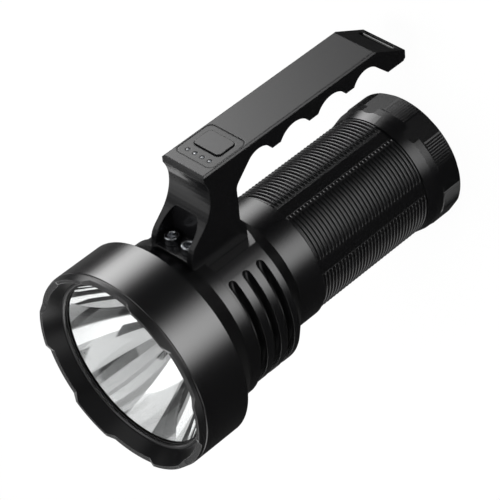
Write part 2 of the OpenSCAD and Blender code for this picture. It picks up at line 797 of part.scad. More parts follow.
// Ribbed grip with long channels, threaded at both ends
module battery_tube() {
    rib_total = floor((grip_len - rib_groove_w) / rib_pitch);
    margin = (grip_len - (rib_total - 1) * rib_pitch) / 2;
    slope = rib_groove_w / 4;
    ribs = [for (i = [0 : rib_total - 1]) let (z = z_grip + margin + i * rib_pitch)
        each [[tube_r, z - rib_groove_w / 2], [tube_r - rib_groove_depth, z - rib_groove_w / 2 + slope],
            [tube_r - rib_groove_depth, z + rib_groove_w / 2 - slope], [tube_r, z + rib_groove_w / 2]]];
    z_rear = z_grip - tail_spigot_len;
    z_end = z_collar + front_spigot_len;
    first_channel = -14.5;
    color("#242526") difference() {
        rotate_extrude($fn = 128) polygon(concat(
            [[tube_bore_r, z_rear], [thread_r - bevel, z_rear], [thread_r, z_rear + bevel]],
            seal_groove(z_grip - 1.5 * seal_groove_w),
            [[thread_r, z_grip], [tube_r, z_grip]], ribs,
            [[tube_r, z_collar], [thread_r, z_collar]],
            seal_groove(z_collar + 1.5 * seal_groove_w),
            [[thread_r, z_end - bevel], [thread_r - bevel, z_end], [tube_bore_r, z_end]]));
        around(channel_count, first_channel) translate([0, 0, z_grip + gap])
            linear_extrude(grip_len - 2 * gap) polygon([[tube_r - channel_depth, -channel_w / 2 + channel_depth],
                [tube_r + channel_depth, -channel_w / 2 - channel_depth],
                [tube_r + channel_depth, channel_w / 2 + channel_depth],
                [tube_r - channel_depth, channel_w / 2 - channel_depth]]);
    }
}

// One cell: sleeve with a rounded shoulder, and the raised contact at its front end
module cell(i) {
    nub_r = 5.5;
    nub_h = 0.9;
    color("#2f6fa8") rotate(90 * i + 45) translate([cell_pitch_r, 0, 0]) rotate_extrude($fn = 64)
        polygon([[0, z_cells], [cell_r - bevel, z_cells], [cell_r, z_cells + bevel],
            [cell_r, z_holder_front - nub_h - bevel], [cell_r - bevel, z_holder_front - nub_h],
            [nub_r, z_holder_front - nub_h], [nub_r, z_holder_front], [0, z_holder_front]]);
}

module cell_1() { cell(0); }
module cell_2() { cell(1); }
module cell_3() { cell(2); }
module cell_4() { cell(3); }

// Round plate of the cell holder, with a screw seat on its outer face
module holder_plate(z, outer) {
    sink_z = outer > 0 ? z + holder_plate_t - screw_head_h : z - over;
    color("#dcdad2") difference() {
        ring(z, z + holder_plate_t, 0, holder_r);
        post(0, 0, z - over, z + holder_plate_t + over, rod_screw_r + gap);
        post(0, 0, sink_z, sink_z + screw_head_h + over, screw_head_r + gap);
    }
}

module holder_front_plate() { holder_plate(z_holder_front, 1); }
module holder_rear_plate() { holder_plate(z_stack, -1); }

// Rod between the four cells, tapped at both ends
module holder_rod() {
    color("#a9abad") difference() {
        ring(z_cells, z_holder_front, 0, holder_rod_r);
        post(0, 0, z_cells - over, z_cells + rod_screw_len, rod_screw_r + fit / 4);
        post(0, 0, z_holder_front - rod_screw_len, z_holder_front + over, rod_screw_r + fit / 4);
    }
}

module holder_screws() {
    color("#b9b9b4") {
        post(0, 0, z_stack, z_stack + screw_head_h, screw_head_r);
        post(0, 0, z_stack + screw_head_h, z_cells + rod_screw_len - gap, rod_screw_r);
        post(0, 0, z_holder_end - screw_head_h, z_holder_end, screw_head_r);
        post(0, 0, z_holder_front - rod_screw_len + gap, z_holder_end - screw_head_h, rod_screw_r);
    }
}

module holder_contacts() {
    color("#d4af37") {
        ring(z_holder_end, z_holder_end + stud_t, 0, stud_r);
        ring(z_holder_end, z_holder_end + contact_ring_t, contact_ring_in, contact_ring_out);
    }
}

// Contact board behind the cells: slides with the cap and doesn't turn
module tail_board() {
    color("#1f5b3a") ring(z_tail_board, z_tail_board + board_t, tail_screw_r + clear, tail_board_r);
}

module tail_contacts() {
    color("#d4af37") around(3)
        post(tail_post_pitch_r, 0, z_tail_board + board_t, z_tail_board + board_t + tail_post_len, post_r);
}

// Shoulder screw on which the contact board turns
module tail_board_screw() {
    color("#b9b9b4") {
        post(0, 0, cap_floor - tail_screw_depth, z_tail_board + board_t + gap, tail_screw_r);
        post(0, 0, z_tail_board + board_t + gap, z_tail_board + board_t + gap + tail_screw_head_h,
            tail_screw_head_r);
    }
}

// Cap outline seen from behind: round, with equal flats
module cap_flats_outline() {
    difference() {
        circle(r = cap_r, $fn = 180);
        around(cap_flats, cap_turn) translate([cap_flat_r, -cap_r / 2]) square([cap_r, cap_r]);
    }
}

// The same outline with knurl grooves on the lands between the flats
module cap_grip_outline() {
    land_half = 180 / cap_flats - acos(cap_flat_r / cap_r);
    step = 2 * land_half / (knurl_count + 1);
    difference() {
        cap_flats_outline();
        around(cap_flats, cap_turn + 180 / cap_flats) for (i = [1:knurl_count]) rotate(-land_half + i * step)
            polygon([[cap_r - knurl_depth, 0], [cap_r + knurl_depth, -2 * knurl_depth],
                [cap_r + knurl_depth, 2 * knurl_depth]]);
    }
}

module cap_profile() {
    rotate_extrude($fn = 180) polygon([[0, 0], [cap_r - bevel, 0], [cap_r, bevel],
        [cap_r, knurl_len - bevel], [cap_band_r, knurl_len], [cap_band_r, cap_len - cap_cone_len],
        [tube_r + gap, cap_len], [0, cap_len]]);
}

// Cap with knurled lands, a threaded bore and a boss for the contact board's screw
module tail_cap() {
    color("#27282a") difference() {
        union() {
            intersection() {
                cap_profile();
                linear_extrude(knurl_len) cap_grip_outline();
            }
            intersection() {
                cap_profile();
                translate([0, 0, knurl_len]) linear_extrude(cap_len - knurl_len) cap_flats_outline();
            }
        }
        ring(z_boss, cap_len + over, 0, thread_r + fit);
        ring(cap_floor, cap_len, boss_r, thread_r + fit);
        post(0, 0, cap_floor - tail_screw_depth - gap, cap_len, tail_screw_r + fit / 4);
    }
}

// Side view of the handle, without its finger grooves
function handle_outline() = let (
    web_z = pillar_rear_z - web_r,
    web_x = a_tangent_z + end_tangent_x - web_r * sqrt(2) - web_z,
    bend_z = tail_z + bend_run)
    concat(
        [[tail_z, lip_x + tail_edge], [lip_rear_z, lip_x], [lip_front_z, lip_x],
            [d_tangent_z, end_tangent_x], [groove_d_z + half_chord, handle_under_x],
            [groove_a_z - half_chord, handle_under_x], [a_tangent_z, end_tangent_x]],
        arc(web_z, web_x, web_r, 45, 0, 4),
        [[pillar_rear_z, heel_top_x], [foot_rear_z, heel_x], [foot_rear_z, saddle_x],
            [foot_front_z, saddle_x]],
        arc(foot_front_z - toe_r, toe_x, toe_r, 0, 45, 5),
        arc(brow_z, brow_x, brow_r, 225, 180, 8),
        arc(brow_z - brow_r + lip_r, brow_x, lip_r, 180, 180 - lip_angle, 4),
        [[brow_z - brow_r + lip_r - lip_r * cos(lip_angle), handle_top_x - top_bevel],
            [brow_z - brow_r + lip_r - lip_r * cos(lip_angle) - top_bevel, handle_top_x],
            [bend_z, handle_top_x], [tail_z + gap, handle_top_x - bend_drop],
            [tail_z, handle_top_x - bend_drop - bevel]]);

// One-piece handle: finger grooves, flared foot with an arched screw pocket, switch well, lanyard slot
module handle() {
    half = handle_w / 2;
    color("#3a3b3c") difference() {
        intersection() {
            plate_y(half) polygon(handle_outline());
            linear_extrude(z_head) polygon([[0, -half], [handle_top_x - top_bevel, -half],
                [handle_top_x, -half + top_bevel], [handle_top_x, half - top_bevel],
                [handle_top_x - top_bevel, half], [0, half]]);
        }
        for (z = [groove_a_z, groove_d_z]) rod_y(-half - over, half + over, end_groove_x, z, end_finger_r);
        for (z = [groove_b_z, groove_c_z]) rod_y(-half - over, half + over, groove_x, z, finger_r);
        difference() {
            neck_solid(gap);
            saddle_cut(gap);
        }
        // arched pocket in the foot's front, with the two screw seats on its floor
        translate([0, 0, foot_front_z - arch_back]) linear_extrude(2 * arch_back) {
            translate([arch_mid_x, 0]) circle(r = arch_r);
            translate([arch_floor_x, -arch_r]) square([arch_mid_x - arch_floor_x, 2 * arch_r]);
        }
        for (s = [-1, 1]) {
            rod_x(saddle_x - over, arch_floor_x + over, s * screw_y, screw_z, handle_screw_r + clear);
            rod_x(saddle_x - over, saddle_x + pin_len / 2 + gap, s * pin_y, pin_z, pin_r + fit / 4);
        }
        // lanyard slot through the rear end, and the bore of its bar
        plate_x(lip_x - over, handle_top_x + over) translate([0, lanyard_z])
            soft_rect(2 * lanyard_half, lanyard_w, lanyard_w / 2 - gap);
        rod_y(-bar_half - gap, bar_half + gap, bar_x, bar_z, bar_r + fit / 4);
        // switch recess, well and wire bore
        plate_x(panel_x, handle_top_x + over) translate([0, panel_z])
            soft_rect(panel_w + 2 * gap, panel_len + 2 * gap, panel_corner + gap);
        plate_x(seat_x, panel_x + gap) translate([0, panel_z])
            soft_rect(panel_w + 2 * gap, panel_len + 2 * gap, panel_corner + gap);
        plate_x(well_x, seat_x + gap) translate([0, well_z]) soft_rect(well_w, well_len, button_corner);
        rod_x(saddle_x - over, well_x + over, 0, wire_z, wire_bore_r);
        // seat of the seal round the wire bore
        difference() {
            rod_x(saddle_x - over, saddle_x + seal_groove_depth + gap, 0, wire_z,
                ring_seat_r + seal_groove_w / 2);
            rod_x(saddle_x - 2 * over, saddle_x + 2 * over, 0, wire_z, ring_seat_r - seal_groove_w / 2);
        }
    }
}

// Socket-head cap screws, with the hexagon open to the front of the pocket
module handle_screws() {
    color("#8d8f92") for (s = [-1, 1]) difference() {
        union() {
            rod_x(arch_floor_x, arch_floor_x + handle_head_h, s * screw_y, screw_z, handle_head_r);
            rod_x(arch_floor_x - handle_screw_len, arch_floor_x + gap, s * screw_y, screw_z, handle_screw_r);
        }
        translate([arch_floor_x + handle_head_h - hex_depth, s * screw_y, screw_z]) rotate([0, 90, 0])
            cylinder(h = hex_depth + over, r = hex_r, $fn = 6);
    }
}

module handle_pins() {
    color("#b9b9b4") for (s = [-1, 1])
        rod_x(saddle_x - pin_len / 2, saddle_x + pin_len / 2, s * pin_y, pin_z, pin_r);
}

module handle_seal() {
    color("#141414") translate([saddle_x + seal_r + fit / 2, 0, wire_z]) rotate([0, 90, 0])
        rotate_extrude() translate([ring_seat_r, 0]) circle(r = seal_r, $fn = 32);
}

// Places of the indicator lights across the panel
function dot_y(i) = (i - (dot_count - 1) / 2) * dot_pitch;

module switch_panel() {
    color("#2c2d2e") difference() {
        plate_x(panel_x, panel_top_x) translate([0, panel_z]) soft_rect(panel_w, panel_len, panel_corner);
        plate_x(panel_x - over, panel_top_x + over) translate([0, button_z])
            soft_rect(button_w + 2 * button_gap, button_len + 2 * button_gap, button_corner + button_gap);
        for (i = [0 : dot_count - 1]) rod_x(panel_x - over, panel_top_x + over, dot_y(i), dot_z, dot_r + fit);
    }
}

module panel_gasket() {
    color("#141414") difference() {
        plate_x(seat_x, panel_x) translate([0, panel_z]) soft_rect(panel_w - gap, panel_len - gap, panel_corner);
        plate_x(seat_x - over, panel_x + over) translate([0, well_z])
            soft_rect(well_w + 2 * gap, well_len + 2 * gap, button_corner);
    }
}

// Key with a flange under the panel
module power_button() {
    color("#4b4d4f") {
        plate_x(button_flange_x - gap, button_top_x) translate([0, button_z])
            soft_rect(button_w, button_len, button_corner);
        plate_x(button_x, button_flange_x) translate([0, button_z])
            soft_rect(button_w + 2 * flange_lap, button_len + 2 * flange_lap, button_corner);
    }
}

module switch_board() {
    color("#1f5b3a") plate_x(well_x, well_x + switch_board_t) translate([0, well_z]) difference() {
        soft_rect(well_w - 2 * gap, well_len - 2 * gap, button_corner);
    }
}

// Square tactile switch with a round plunger
module button_switch() {
    body_w = 6;
    body_t = 1.1;
    x0 = well_x + switch_board_t;
    color("#8a8c8e") {
        plate_x(x0, x0 + body_t) translate([0, button_z]) square([body_w, body_w], center = true);
        rod_x(x0 + body_t / 2, plunger_top_x, 0, button_z, body_w / 4);
    }
}

module indicator_lights() {
    color("#d8dcd8") for (i = [0 : dot_count - 1])
        rod_x(well_x + switch_board_t, panel_top_x, dot_y(i), dot_z, dot_r);
}

// Two wires from the switch board down the handle and across to the driver board
module switch_wires() {
    color("#8c2a22") for (s = [-1, 1]) {
        rod_x(wire_x, well_x, s * wire_y, wire_z, wire_r);
        post(wire_x, s * wire_y, z_driver, wire_z, wire_r);
        translate([wire_x, s * wire_y, wire_z]) sphere(r = wire_r, $fn = 24);
    }
}

module lanyard_bar() {
    color("#c3c5c7") rod_y(-bar_half, bar_half, bar_x, bar_z, bar_r);
}

head_shell();
lens_ring();
lens_gasket();
front_lens();
reflector();
led_seat_ring();
led_emitter();
led_board();
led_board_screws();
led_wires();
head_seal();
heat_sink_body();
driver_board();
driver_components();
driver_screws();
contact_board();
contact_board_screws();
contact_springs();
charge_port();
charge_board();
charge_pins();
port_cover();
port_cover_strap();
front_tube_seal();
tail_tube_seal();
battery_tube();
cell_1();
cell_2();
cell_3();
cell_4();
holder_front_plate();
holder_rear_plate();
holder_rod();
holder_screws();
holder_contacts();
tail_board();
tail_contacts();
tail_board_screw();
tail_cap();
handle();
handle_screws();
handle_pins();
handle_seal();
switch_panel();
panel_gasket();
power_button();
button_switch();
switch_board();
indicator_lights();
switch_wires();
lanyard_bar();
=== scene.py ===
# %% [markdown]
# # A large rechargeable flashlight
# The real light is turned and milled from aluminium, then hard-anodised black. A deep mirror
# sits behind glass in the head, four cells fill the ribbed grip, and the handle is one casting
# with a key and four small lights in its top. The measured solids come in as a fixed frame.
# This lesson dresses them: finer turned pieces, repeated details and one material per finish.

# %% Load the measured frame
import json
import math
import bmesh
import bpy
from mathutils import Euler, Matrix, Vector


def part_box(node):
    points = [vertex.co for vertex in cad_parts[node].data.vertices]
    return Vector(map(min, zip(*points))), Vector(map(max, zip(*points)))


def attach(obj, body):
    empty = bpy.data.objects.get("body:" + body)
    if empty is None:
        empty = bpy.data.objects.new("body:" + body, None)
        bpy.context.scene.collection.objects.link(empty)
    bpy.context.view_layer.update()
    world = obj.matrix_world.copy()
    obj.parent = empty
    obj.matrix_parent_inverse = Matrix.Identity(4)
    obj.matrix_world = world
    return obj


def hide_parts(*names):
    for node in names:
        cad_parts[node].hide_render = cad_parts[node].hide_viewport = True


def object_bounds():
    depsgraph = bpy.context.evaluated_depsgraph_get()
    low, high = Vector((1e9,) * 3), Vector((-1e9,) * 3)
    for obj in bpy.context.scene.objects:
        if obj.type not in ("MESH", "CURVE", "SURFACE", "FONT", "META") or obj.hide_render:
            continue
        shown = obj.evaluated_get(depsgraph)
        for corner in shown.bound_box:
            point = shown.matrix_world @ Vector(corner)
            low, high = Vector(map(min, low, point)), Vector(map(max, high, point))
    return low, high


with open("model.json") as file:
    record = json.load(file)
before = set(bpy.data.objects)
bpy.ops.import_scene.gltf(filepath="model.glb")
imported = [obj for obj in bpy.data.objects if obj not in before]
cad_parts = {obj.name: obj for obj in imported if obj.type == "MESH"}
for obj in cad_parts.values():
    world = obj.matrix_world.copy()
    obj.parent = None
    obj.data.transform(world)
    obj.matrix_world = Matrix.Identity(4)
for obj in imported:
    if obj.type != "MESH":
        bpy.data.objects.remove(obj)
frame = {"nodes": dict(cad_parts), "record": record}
cad_low, cad_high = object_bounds()
MM = 0.001

# %% [markdown]
# The photograph was taken with a long lens, from the handle's side and a little above the front.
# The camera was fitted to corners of the rim, cap and handle. Its place is in metres and its turn
# in degrees about X, Y and Z. A focal length of 195.6 mm on a 36 mm sensor gives the photograph's
# narrow field of view.

# %% Camera
FOCAL_LENGTH, SENSOR_WIDTH = 195.62, 36.0
CAMERA_PLACE = Vector((0.813612, -0.673115, 0.719052))
CAMERA_TURN = Euler([math.radians(degrees) for degrees in (-45.9007, 43.3658, -96.4368)])
lens = bpy.data.cameras.new("studio_lens")
lens.lens, lens.sensor_width = FOCAL_LENGTH, SENSOR_WIDTH
lens.clip_start, lens.clip_end = 0.05, 20.0
camera = bpy.data.objects.new("studio_camera", lens)
bpy.context.scene.collection.objects.link(camera)
camera.matrix_world = Matrix.LocRotScale(CAMERA_PLACE, CAMERA_TURN, None)
bpy.context.scene.camera = camera
print("camera to the frame's origin:", round(camera.location.length, 3), "m")

# %% [markdown]
# Every shader below is built from the same helpers. One turns an sRGB hex code, as read from a
# paint chart, into the linear values that Blender mixes. One adds a node and sets or links its
# sockets in one line. The third starts a material, with its shader wired to the output.

# %% Colour and node helpers
def linear(code):
    """#rrggbb in sRGB to linear RGBA."""
    parts = [int(code[i:i + 2], 16) / 255 for i in (1, 3, 5)]
    return (*[c / 12.92 if c <= 0.04045 else ((c + 0.055) / 1.055) ** 2.4 for c in parts], 1.0)


def add(tree, kind, inputs=None, **settings):
    """One node: settings are attributes, inputs are values, or sockets or fields to link from."""
    node = tree.nodes.new(kind)
    for key, value in settings.items():
        setattr(node, key, value)
    for key, value in (inputs or {}).items():
        value = getattr(value, "socket", value)
        if isinstance(value, bpy.types.NodeSocket):
            tree.links.new(value, node.inputs[key])
        else:
            node.inputs[key].default_value = value
    return node


def new_finish(name):
    """A material with an empty tree, its Principled shader already wired to the output."""
    material = bpy.data.materials.new(name)
    material.use_nodes = True
    tree = material.node_tree
    tree.nodes.clear()
    shader = add(tree, "ShaderNodeBsdfPrincipled")
    add(tree, "ShaderNodeOutputMaterial", {"Surface": shader.outputs[0]})
    return material, tree, shader


print("mid grey #808080 in linear light:", round(linear("#808080")[0], 3))

# %% [markdown]
# A real surface is never one flat value. Blasting, moulding and plating leave a grain, so the
# shared finish lets tone and roughness wander with a noise of the grain's real size. Machined
# edges are broken by a few tenths of a millimetre, and that is what draws the thin light lines
# in the photograph. Blender's Bevel node bends the normal there without more faces.

# %% One finish for grained surfaces
materials = {}


def finish(name, code, roughness, grain_mm, mottle=0.15, relief_mm=0.0, edge_mm=0.4, metallic=0.0,
           level=0.5, spread=0.02):
    """A grained surface: colour as sRGB hex, sizes in mm. Returns material, tree and shader."""
    material, tree, shader = new_finish(name)
    place = add(tree, "ShaderNodeTexCoord")
    grain = add(tree, "ShaderNodeTexNoise",
                {"Vector": place.outputs["Object"], "Scale": 1 / (grain_mm * MM), "Detail": 3.0})
    dark, light = [(*[c * share for c in linear(code)[:3]], 1.0) for share in (1 - mottle, 1 + mottle)]
    tone = add(tree, "ShaderNodeMix", {0: grain.outputs["Fac"], 6: dark, 7: light}, data_type="RGBA")
    rough = add(tree, "ShaderNodeMapRange", {"Value": grain.outputs["Fac"],
                                             "To Min": roughness - spread, "To Max": roughness + spread})
    edge = add(tree, "ShaderNodeBevel", {"Radius": edge_mm * MM}, samples=4)
    relief = add(tree, "ShaderNodeBump", {"Height": grain.outputs["Fac"], "Distance": relief_mm * MM,
                                          "Normal": edge.outputs[0]})
    tree.links.new(tone.outputs[2], shader.inputs["Base Color"])
    tree.links.new(rough.outputs[0], shader.inputs["Roughness"])
    tree.links.new(relief.outputs[0], shader.inputs["Normal"])
    shader.inputs["Metallic"].default_value = metallic
    shader.inputs["Specular IOR Level"].default_value = level
    return material, tree, shader


def make_finishes(*rows):
    """Plain finishes, each from its name, colour, roughness, grain in mm and other settings."""
    for name, code, roughness, grain_mm, settings in rows:
        materials[name] = finish(name, code, roughness, grain_mm, **settings)[0]
    print("finishes:", ", ".join(row[0] for row in rows))


# %% [markdown]
# Most of what shows is one finish: aluminium, bead-blasted and hard-anodised black. The oxide is
# glassy but blasted, so it gives the eye a satin black with soft, fairly narrow highlights. Each
# piece is blasted and dyed on its own, so they differ a little in how much they shine. The real
# grain is about a tenth of a millimetre, and is drawn at 0.3 mm so that it shows.

# %% Black finishes of the housing
make_finishes(
    # Satin black with soft bands of light
    ("anodised_black", "#0b0b0c", 0.25, 0.3, dict(relief_mm=0.0008)),
    # The cast handle takes the dye less evenly and shines less, with rounder edges
    ("cast_black", "#0c0c0d", 0.24, 0.4, dict(relief_mm=0.001, edge_mm=0.8, level=0.25)),
    # The same oxide on turned pieces that have their edges as faces, so the shader adds next to none
    ("turned_black", "#0b0b0c", 0.25, 0.3, dict(relief_mm=0.0008, edge_mm=0.06)),
    # The crater's cone is a darker, duller copy of the same oxide: painted shade in the recess
    ("crater_painted_shade", "#080809", 0.3, 0.3, dict(relief_mm=0.0008, edge_mm=0.06, level=0.2)),
    # The neck is blasted a little duller before the dye
    ("blasted_black", "#0b0b0c", 0.25, 0.3, dict(relief_mm=0.0008, level=0.38)),
    # The ribbed tube shines less again, so its channels stay deep black
    ("ribbed_black", "#0b0b0c", 0.25, 0.3, dict(relief_mm=0.0008, edge_mm=0.06, level=0.3)),
    # The knurled cap keeps crisp edges for the fingers, so each ridge draws a thin line
    ("knurled_black", "#0b0b0c", 0.22, 0.3, dict(relief_mm=0.0008, edge_mm=0.05, level=0.28)))

# %% [markdown]
# The other pieces follow in the same way, each named for what the maker would have ordered. Most
# are inside, and show only when the light comes apart.

# %% Metals, plastics and rubber
make_finishes(
    # Bright turned metal, slightly brushed
    ("bare_aluminium", "#c3c5c8", 0.3, 0.3, dict(metallic=1.0, mottle=0.06)),
    # Dull, almost lightless black
    ("seal_rubber", "#0e0e0e", 0.62, 0.5, dict(level=0.3)),
    # Chalky white moulding
    ("white_plastic", "#e6e4da", 0.5, 0.8, dict(mottle=0.04)),
    # White solder mask over the copper board that carries the emitter
    ("copper_board", "#dcdad2", 0.42, 0.4, dict(mottle=0.05)),
    # Bright plated steel
    ("screw_steel", "#b9bab8", 0.25, 0.3, dict(metallic=1.0, mottle=0.08)),
    # Matte silicone sleeve
    ("red_wire", "#9a1614", 0.5, 0.4, dict(edge_mm=0.1)),
    # Moulded black with a fine spark-eroded texture
    ("black_plastic", "#151516", 0.48, 0.3, dict(relief_mm=0.01)),
    # Warm plated contacts
    ("gold_contact", "#d4a64a", 0.22, 0.3, dict(metallic=1.0, mottle=0.06, edge_mm=0.1)),
    # Drawn stainless shell of the inlet
    ("port_steel", "#b4b6ba", 0.28, 0.3, dict(metallic=1.0, mottle=0.06, edge_mm=0.1)),
    # Shrink sleeve: smooth film with a slight ripple
    ("cell_sleeve", "#24589c", 0.3, 2.5, dict(mottle=0.08, relief_mm=0.02)),
    # Satin key, a little greyer than the handle
    ("button_grey", "#101011", 0.3, 0.4, dict(relief_mm=0.001, level=0.3, edge_mm=0.5)),
    # Smoked glossy light pipes
    ("light_pipe", "#6b6e72", 0.12, 0.5, dict(edge_mm=0.1)),
    # Blackened screws, polished by the key until they are brighter than what is round them
    ("black_steel", "#9a9ca0", 0.22, 0.3, dict(metallic=1.0, mottle=0.1)))

# %% [markdown]
# Coated glass is clear and reflects less than bare glass. A see-through branch for shadow rays
# lets lamp light on to the mirror behind it.

# %% Coated glass
CLEAR = linear("#fcfdfd")
materials["clear_glass"], tree, shader = new_finish("coated_glass")
shader.inputs["Base Color"].default_value = CLEAR
shader.inputs["Transmission Weight"].default_value = 1.0
shader.inputs["Roughness"].default_value = 0.0
shader.inputs["IOR"].default_value = 1.52
shader.inputs["Specular IOR Level"].default_value = 0.15
rays = add(tree, "ShaderNodeLightPath")
open_way = add(tree, "ShaderNodeBsdfTransparent", {"Color": CLEAR})
either = add(tree, "ShaderNodeMixShader", {0: rays.outputs["Is Shadow Ray"], 1: shader.outputs[0],
                                           2: open_way.outputs[0]})
tree.links.new(either.outputs[0], tree.get_output_node("ALL").inputs[0])
print("glass, index of refraction:", round(shader.inputs["IOR"].default_value, 2))

# %% [markdown]
# Vacuum-coated aluminium is a near-perfect mirror, with no bevel, because the smallest bend of its
# normal would show. The emitter is phosphor under a clear dome. The boards carry copper tracks
# under a green mask, drawn as bricks of 2.4 by 1.2 mm, coarser than real ones so that they show.

# %% Mirror, emitter and boards
materials["reflector_mirror"] = finish("vacuum_coated_mirror", "#f2f2f2", 0.02, 9.0, mottle=0.01,
                                       edge_mm=0.0, metallic=1.0, spread=0.01)[0]

materials["led_phosphor"], tree, shader = finish("led_phosphor", "#d9b92f", 0.15, 0.15, mottle=0.05,
                                                 edge_mm=0.1)
shader.inputs["Coat Weight"].default_value = 1.0

MASK_GREEN, TRACK_W, TRACK_H, TRACK_GAP = "#14522c", 2.4, 1.2, 0.15
materials["green_board"], tree, shader = finish("green_solder_mask", MASK_GREEN, 0.35, 0.5, edge_mm=0.1)
place = add(tree, "ShaderNodeTexCoord")
tracks = add(tree, "ShaderNodeTexBrick", {
    "Vector": place.outputs["Object"], "Scale": 1.0, "Color1": linear(MASK_GREEN),
    "Color2": linear("#1b6436"), "Mortar": linear("#2f7a45"), "Mortar Size": TRACK_GAP * MM,
    "Brick Width": TRACK_W * MM, "Row Height": TRACK_H * MM})
tree.links.new(tracks.outputs["Color"], shader.inputs["Base Color"])
print("finishes in all:", len(materials))

# %% [markdown]
# The CAD pieces keep their shapes. Each takes the finish of its slot in the record, and five
# pieces of the housing take their own kind of black.

# %% Dress the CAD pieces
for part in frame["record"]["subparts"]:
    solid = frame["nodes"][part["node"]]
    solid.data.materials.clear()
    solid.data.materials.append(materials[part["material_slot"]])
for name, own_finish in (
        ("handle", "cast_black"), ("switch_panel", "cast_black"), ("tail_cap", "knurled_black"),
        ("heat_sink_body", "blasted_black"), ("lanyard_bar", "turned_black")):
    frame["nodes"][name].data.materials[0] = materials[own_finish]

# %% [markdown]
# Pieces made below replace their CAD stand-ins one for one. The next helper closes each of them
# off: doubled points at poles and seams are joined, faces turned outward, edges over `sharp`
# degrees kept sharp, and the piece tied to the body it rides on.

# %% Keep a finished piece
MERGE = 0.001 * MM


def keep(piece, body, slot_name, *nodes, sharp=25):
    """Closes and smooths a mesh, then ties it to its body and hides its CAD nodes."""
    shape = bmesh.new()
    shape.from_mesh(piece.data)
    bmesh.ops.remove_doubles(shape, verts=shape.verts, dist=MERGE)
    bmesh.ops.recalc_face_normals(shape, faces=shape.faces)
    loose = sum(not edge.is_manifold for edge in shape.edges)
    shape.to_mesh(piece.data)
    shape.free()
    piece.data.shade_smooth()
    piece.data.set_sharp_from_angle(angle=math.radians(sharp))
    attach(piece, body)
    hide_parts(*nodes)
    print(piece.name, len(piece.data.polygons), "faces, open edges:", loose)


print("points closer than", MERGE / MM, "mm are joined")

# %% [markdown]
# A turned part is a closed outline of radius and height carried round the beam axis. `eased`
# breaks its corners first with a small flat or curve, as a lathe hand would. Where a cutter has
# taken a channel or a low stretch of rim, `milled` moves the outline's points as it goes round.

# %% Turned pieces
EDGE_BREAK, LONGEST_SHARE = 0.12, 0.45


def eased(outline, ease=EDGE_BREAK, steps=1):
    """The closed outline with each corner off the axis cut back by `ease` mm, in `steps` facets.

    A cut takes at most LONGEST_SHARE of a side, so two cuts never meet on a short one.
    """
    soft = []
    for i, point in enumerate(outline):
        corner, before, after = Vector(point), Vector(outline[i - 1]), Vector(outline[(i + 1) % len(outline)])
        if corner.x == 0:
            soft.append(corner)
            continue
        start = corner + (before - corner) * min(LONGEST_SHARE, ease / (before - corner).length)
        end = corner + (after - corner) * min(LONGEST_SHARE, ease / (after - corner).length)
        soft += [start * (1 - t) ** 2 + corner * 2 * t * (1 - t) + end * t ** 2
                 for t in (k / steps for k in range(steps + 1))]
    return soft


def turned(name, outline, material, angles, milled=None):
    """A body of revolution about the beam axis, in mm, as a new object."""
    shape = bmesh.new()
    rings = []
    for angle in angles:
        here = [milled(r, z, angle) if milled else (r, z) for r, z in outline]
        rings.append([shape.verts.new((r * math.cos(angle) * MM, r * math.sin(angle) * MM, z * MM))
                      for r, z in here])
    for k, here in enumerate(rings):
        there = rings[(k + 1) % len(rings)]
        for i in range(len(outline)):
            j = (i + 1) % len(outline)
            # A stretch along the axis has no surface
            if max(outline[i][0], outline[j][0]) > 0:
                shape.faces.new((here[i], here[j], there[j], there[i]))
    piece = bpy.data.objects.new(name, bpy.data.meshes.new(name))
    bpy.context.scene.collection.objects.link(piece)
    shape.to_mesh(piece.data)
    shape.free()
    piece.data.materials.append(material)
    return piece


RING_STEPS = 192
full_circle = [math.tau * k / RING_STEPS for k in range(RING_STEPS)]
print("steps round a turned piece:", RING_STEPS)

# %% [markdown]
# The grip is a tube with six milled channels, threaded at both ends. Turning it down to the
# floor of the rib gaps leaves the ribs themselves to Geometry Nodes. A channel has a flat floor
# and 45 degree walls, and the first stands a little aside from the handle.

# %% The grip's sizes and channels
grip_low, grip_high = [corner[2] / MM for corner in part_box("battery_tube")]
TUBE_R, BORE_R, THREAD_R, GAP_FLOOR_R = 31.3, 27.0, 29.3, 30.5
GRIP_START, GRIP_END = 21.3, 92.5
CHANNELS, CHANNEL_W, CHANNEL_DEPTH = 6, 8.0, 1.1
FIRST_CHANNEL = math.radians(-14.5)
CHANNEL_STEP = math.tau / CHANNELS


def channelled(r, z, angle):
    """The outline's point where a channel cuts it. Bore and threads lie too deep to be cut."""
    if r < (THREAD_R + GAP_FLOOR_R) / 2:
        return r, z
    off = abs((angle - FIRST_CHANNEL + CHANNEL_STEP / 2) % CHANNEL_STEP - CHANNEL_STEP / 2)
    floor = (TUBE_R - CHANNEL_DEPTH) / math.cos(off)
    wall = (TUBE_R - CHANNEL_W / 2) / (math.cos(off) - math.sin(off))
    return min(r, max(floor, wall)), z


FLOOR_HALF = math.atan2(CHANNEL_W / 2 - CHANNEL_DEPTH, TUBE_R - CHANNEL_DEPTH)
WALL_TOP = math.acos((TUBE_R - CHANNEL_W / 2) / GAP_FLOOR_R / math.sqrt(2)) - math.pi / 4
corners = [FIRST_CHANNEL + k * CHANNEL_STEP + side * half for k in range(CHANNELS)
           for side in (-1, 1) for half in (FLOOR_HALF, WALL_TOP)]
tube_angles = sorted({round(a % math.tau, 6) for a in corners + full_circle})
print("grip:", round(GRIP_END - GRIP_START, 1), "mm long,", CHANNELS, "channels")

# %% [markdown]
# Each thread is drawn as rings of 1.5 mm pitch, not as a helix. That is what shows of it when the
# tail cap is off, and rings close on themselves in a turned piece.

# %% Battery tube
PITCH, THREAD_DEPTH, RUN_OUT, LEAD_IN, END_CHAMFER = 1.5, 0.55, 4.5, 1.0, 0.5


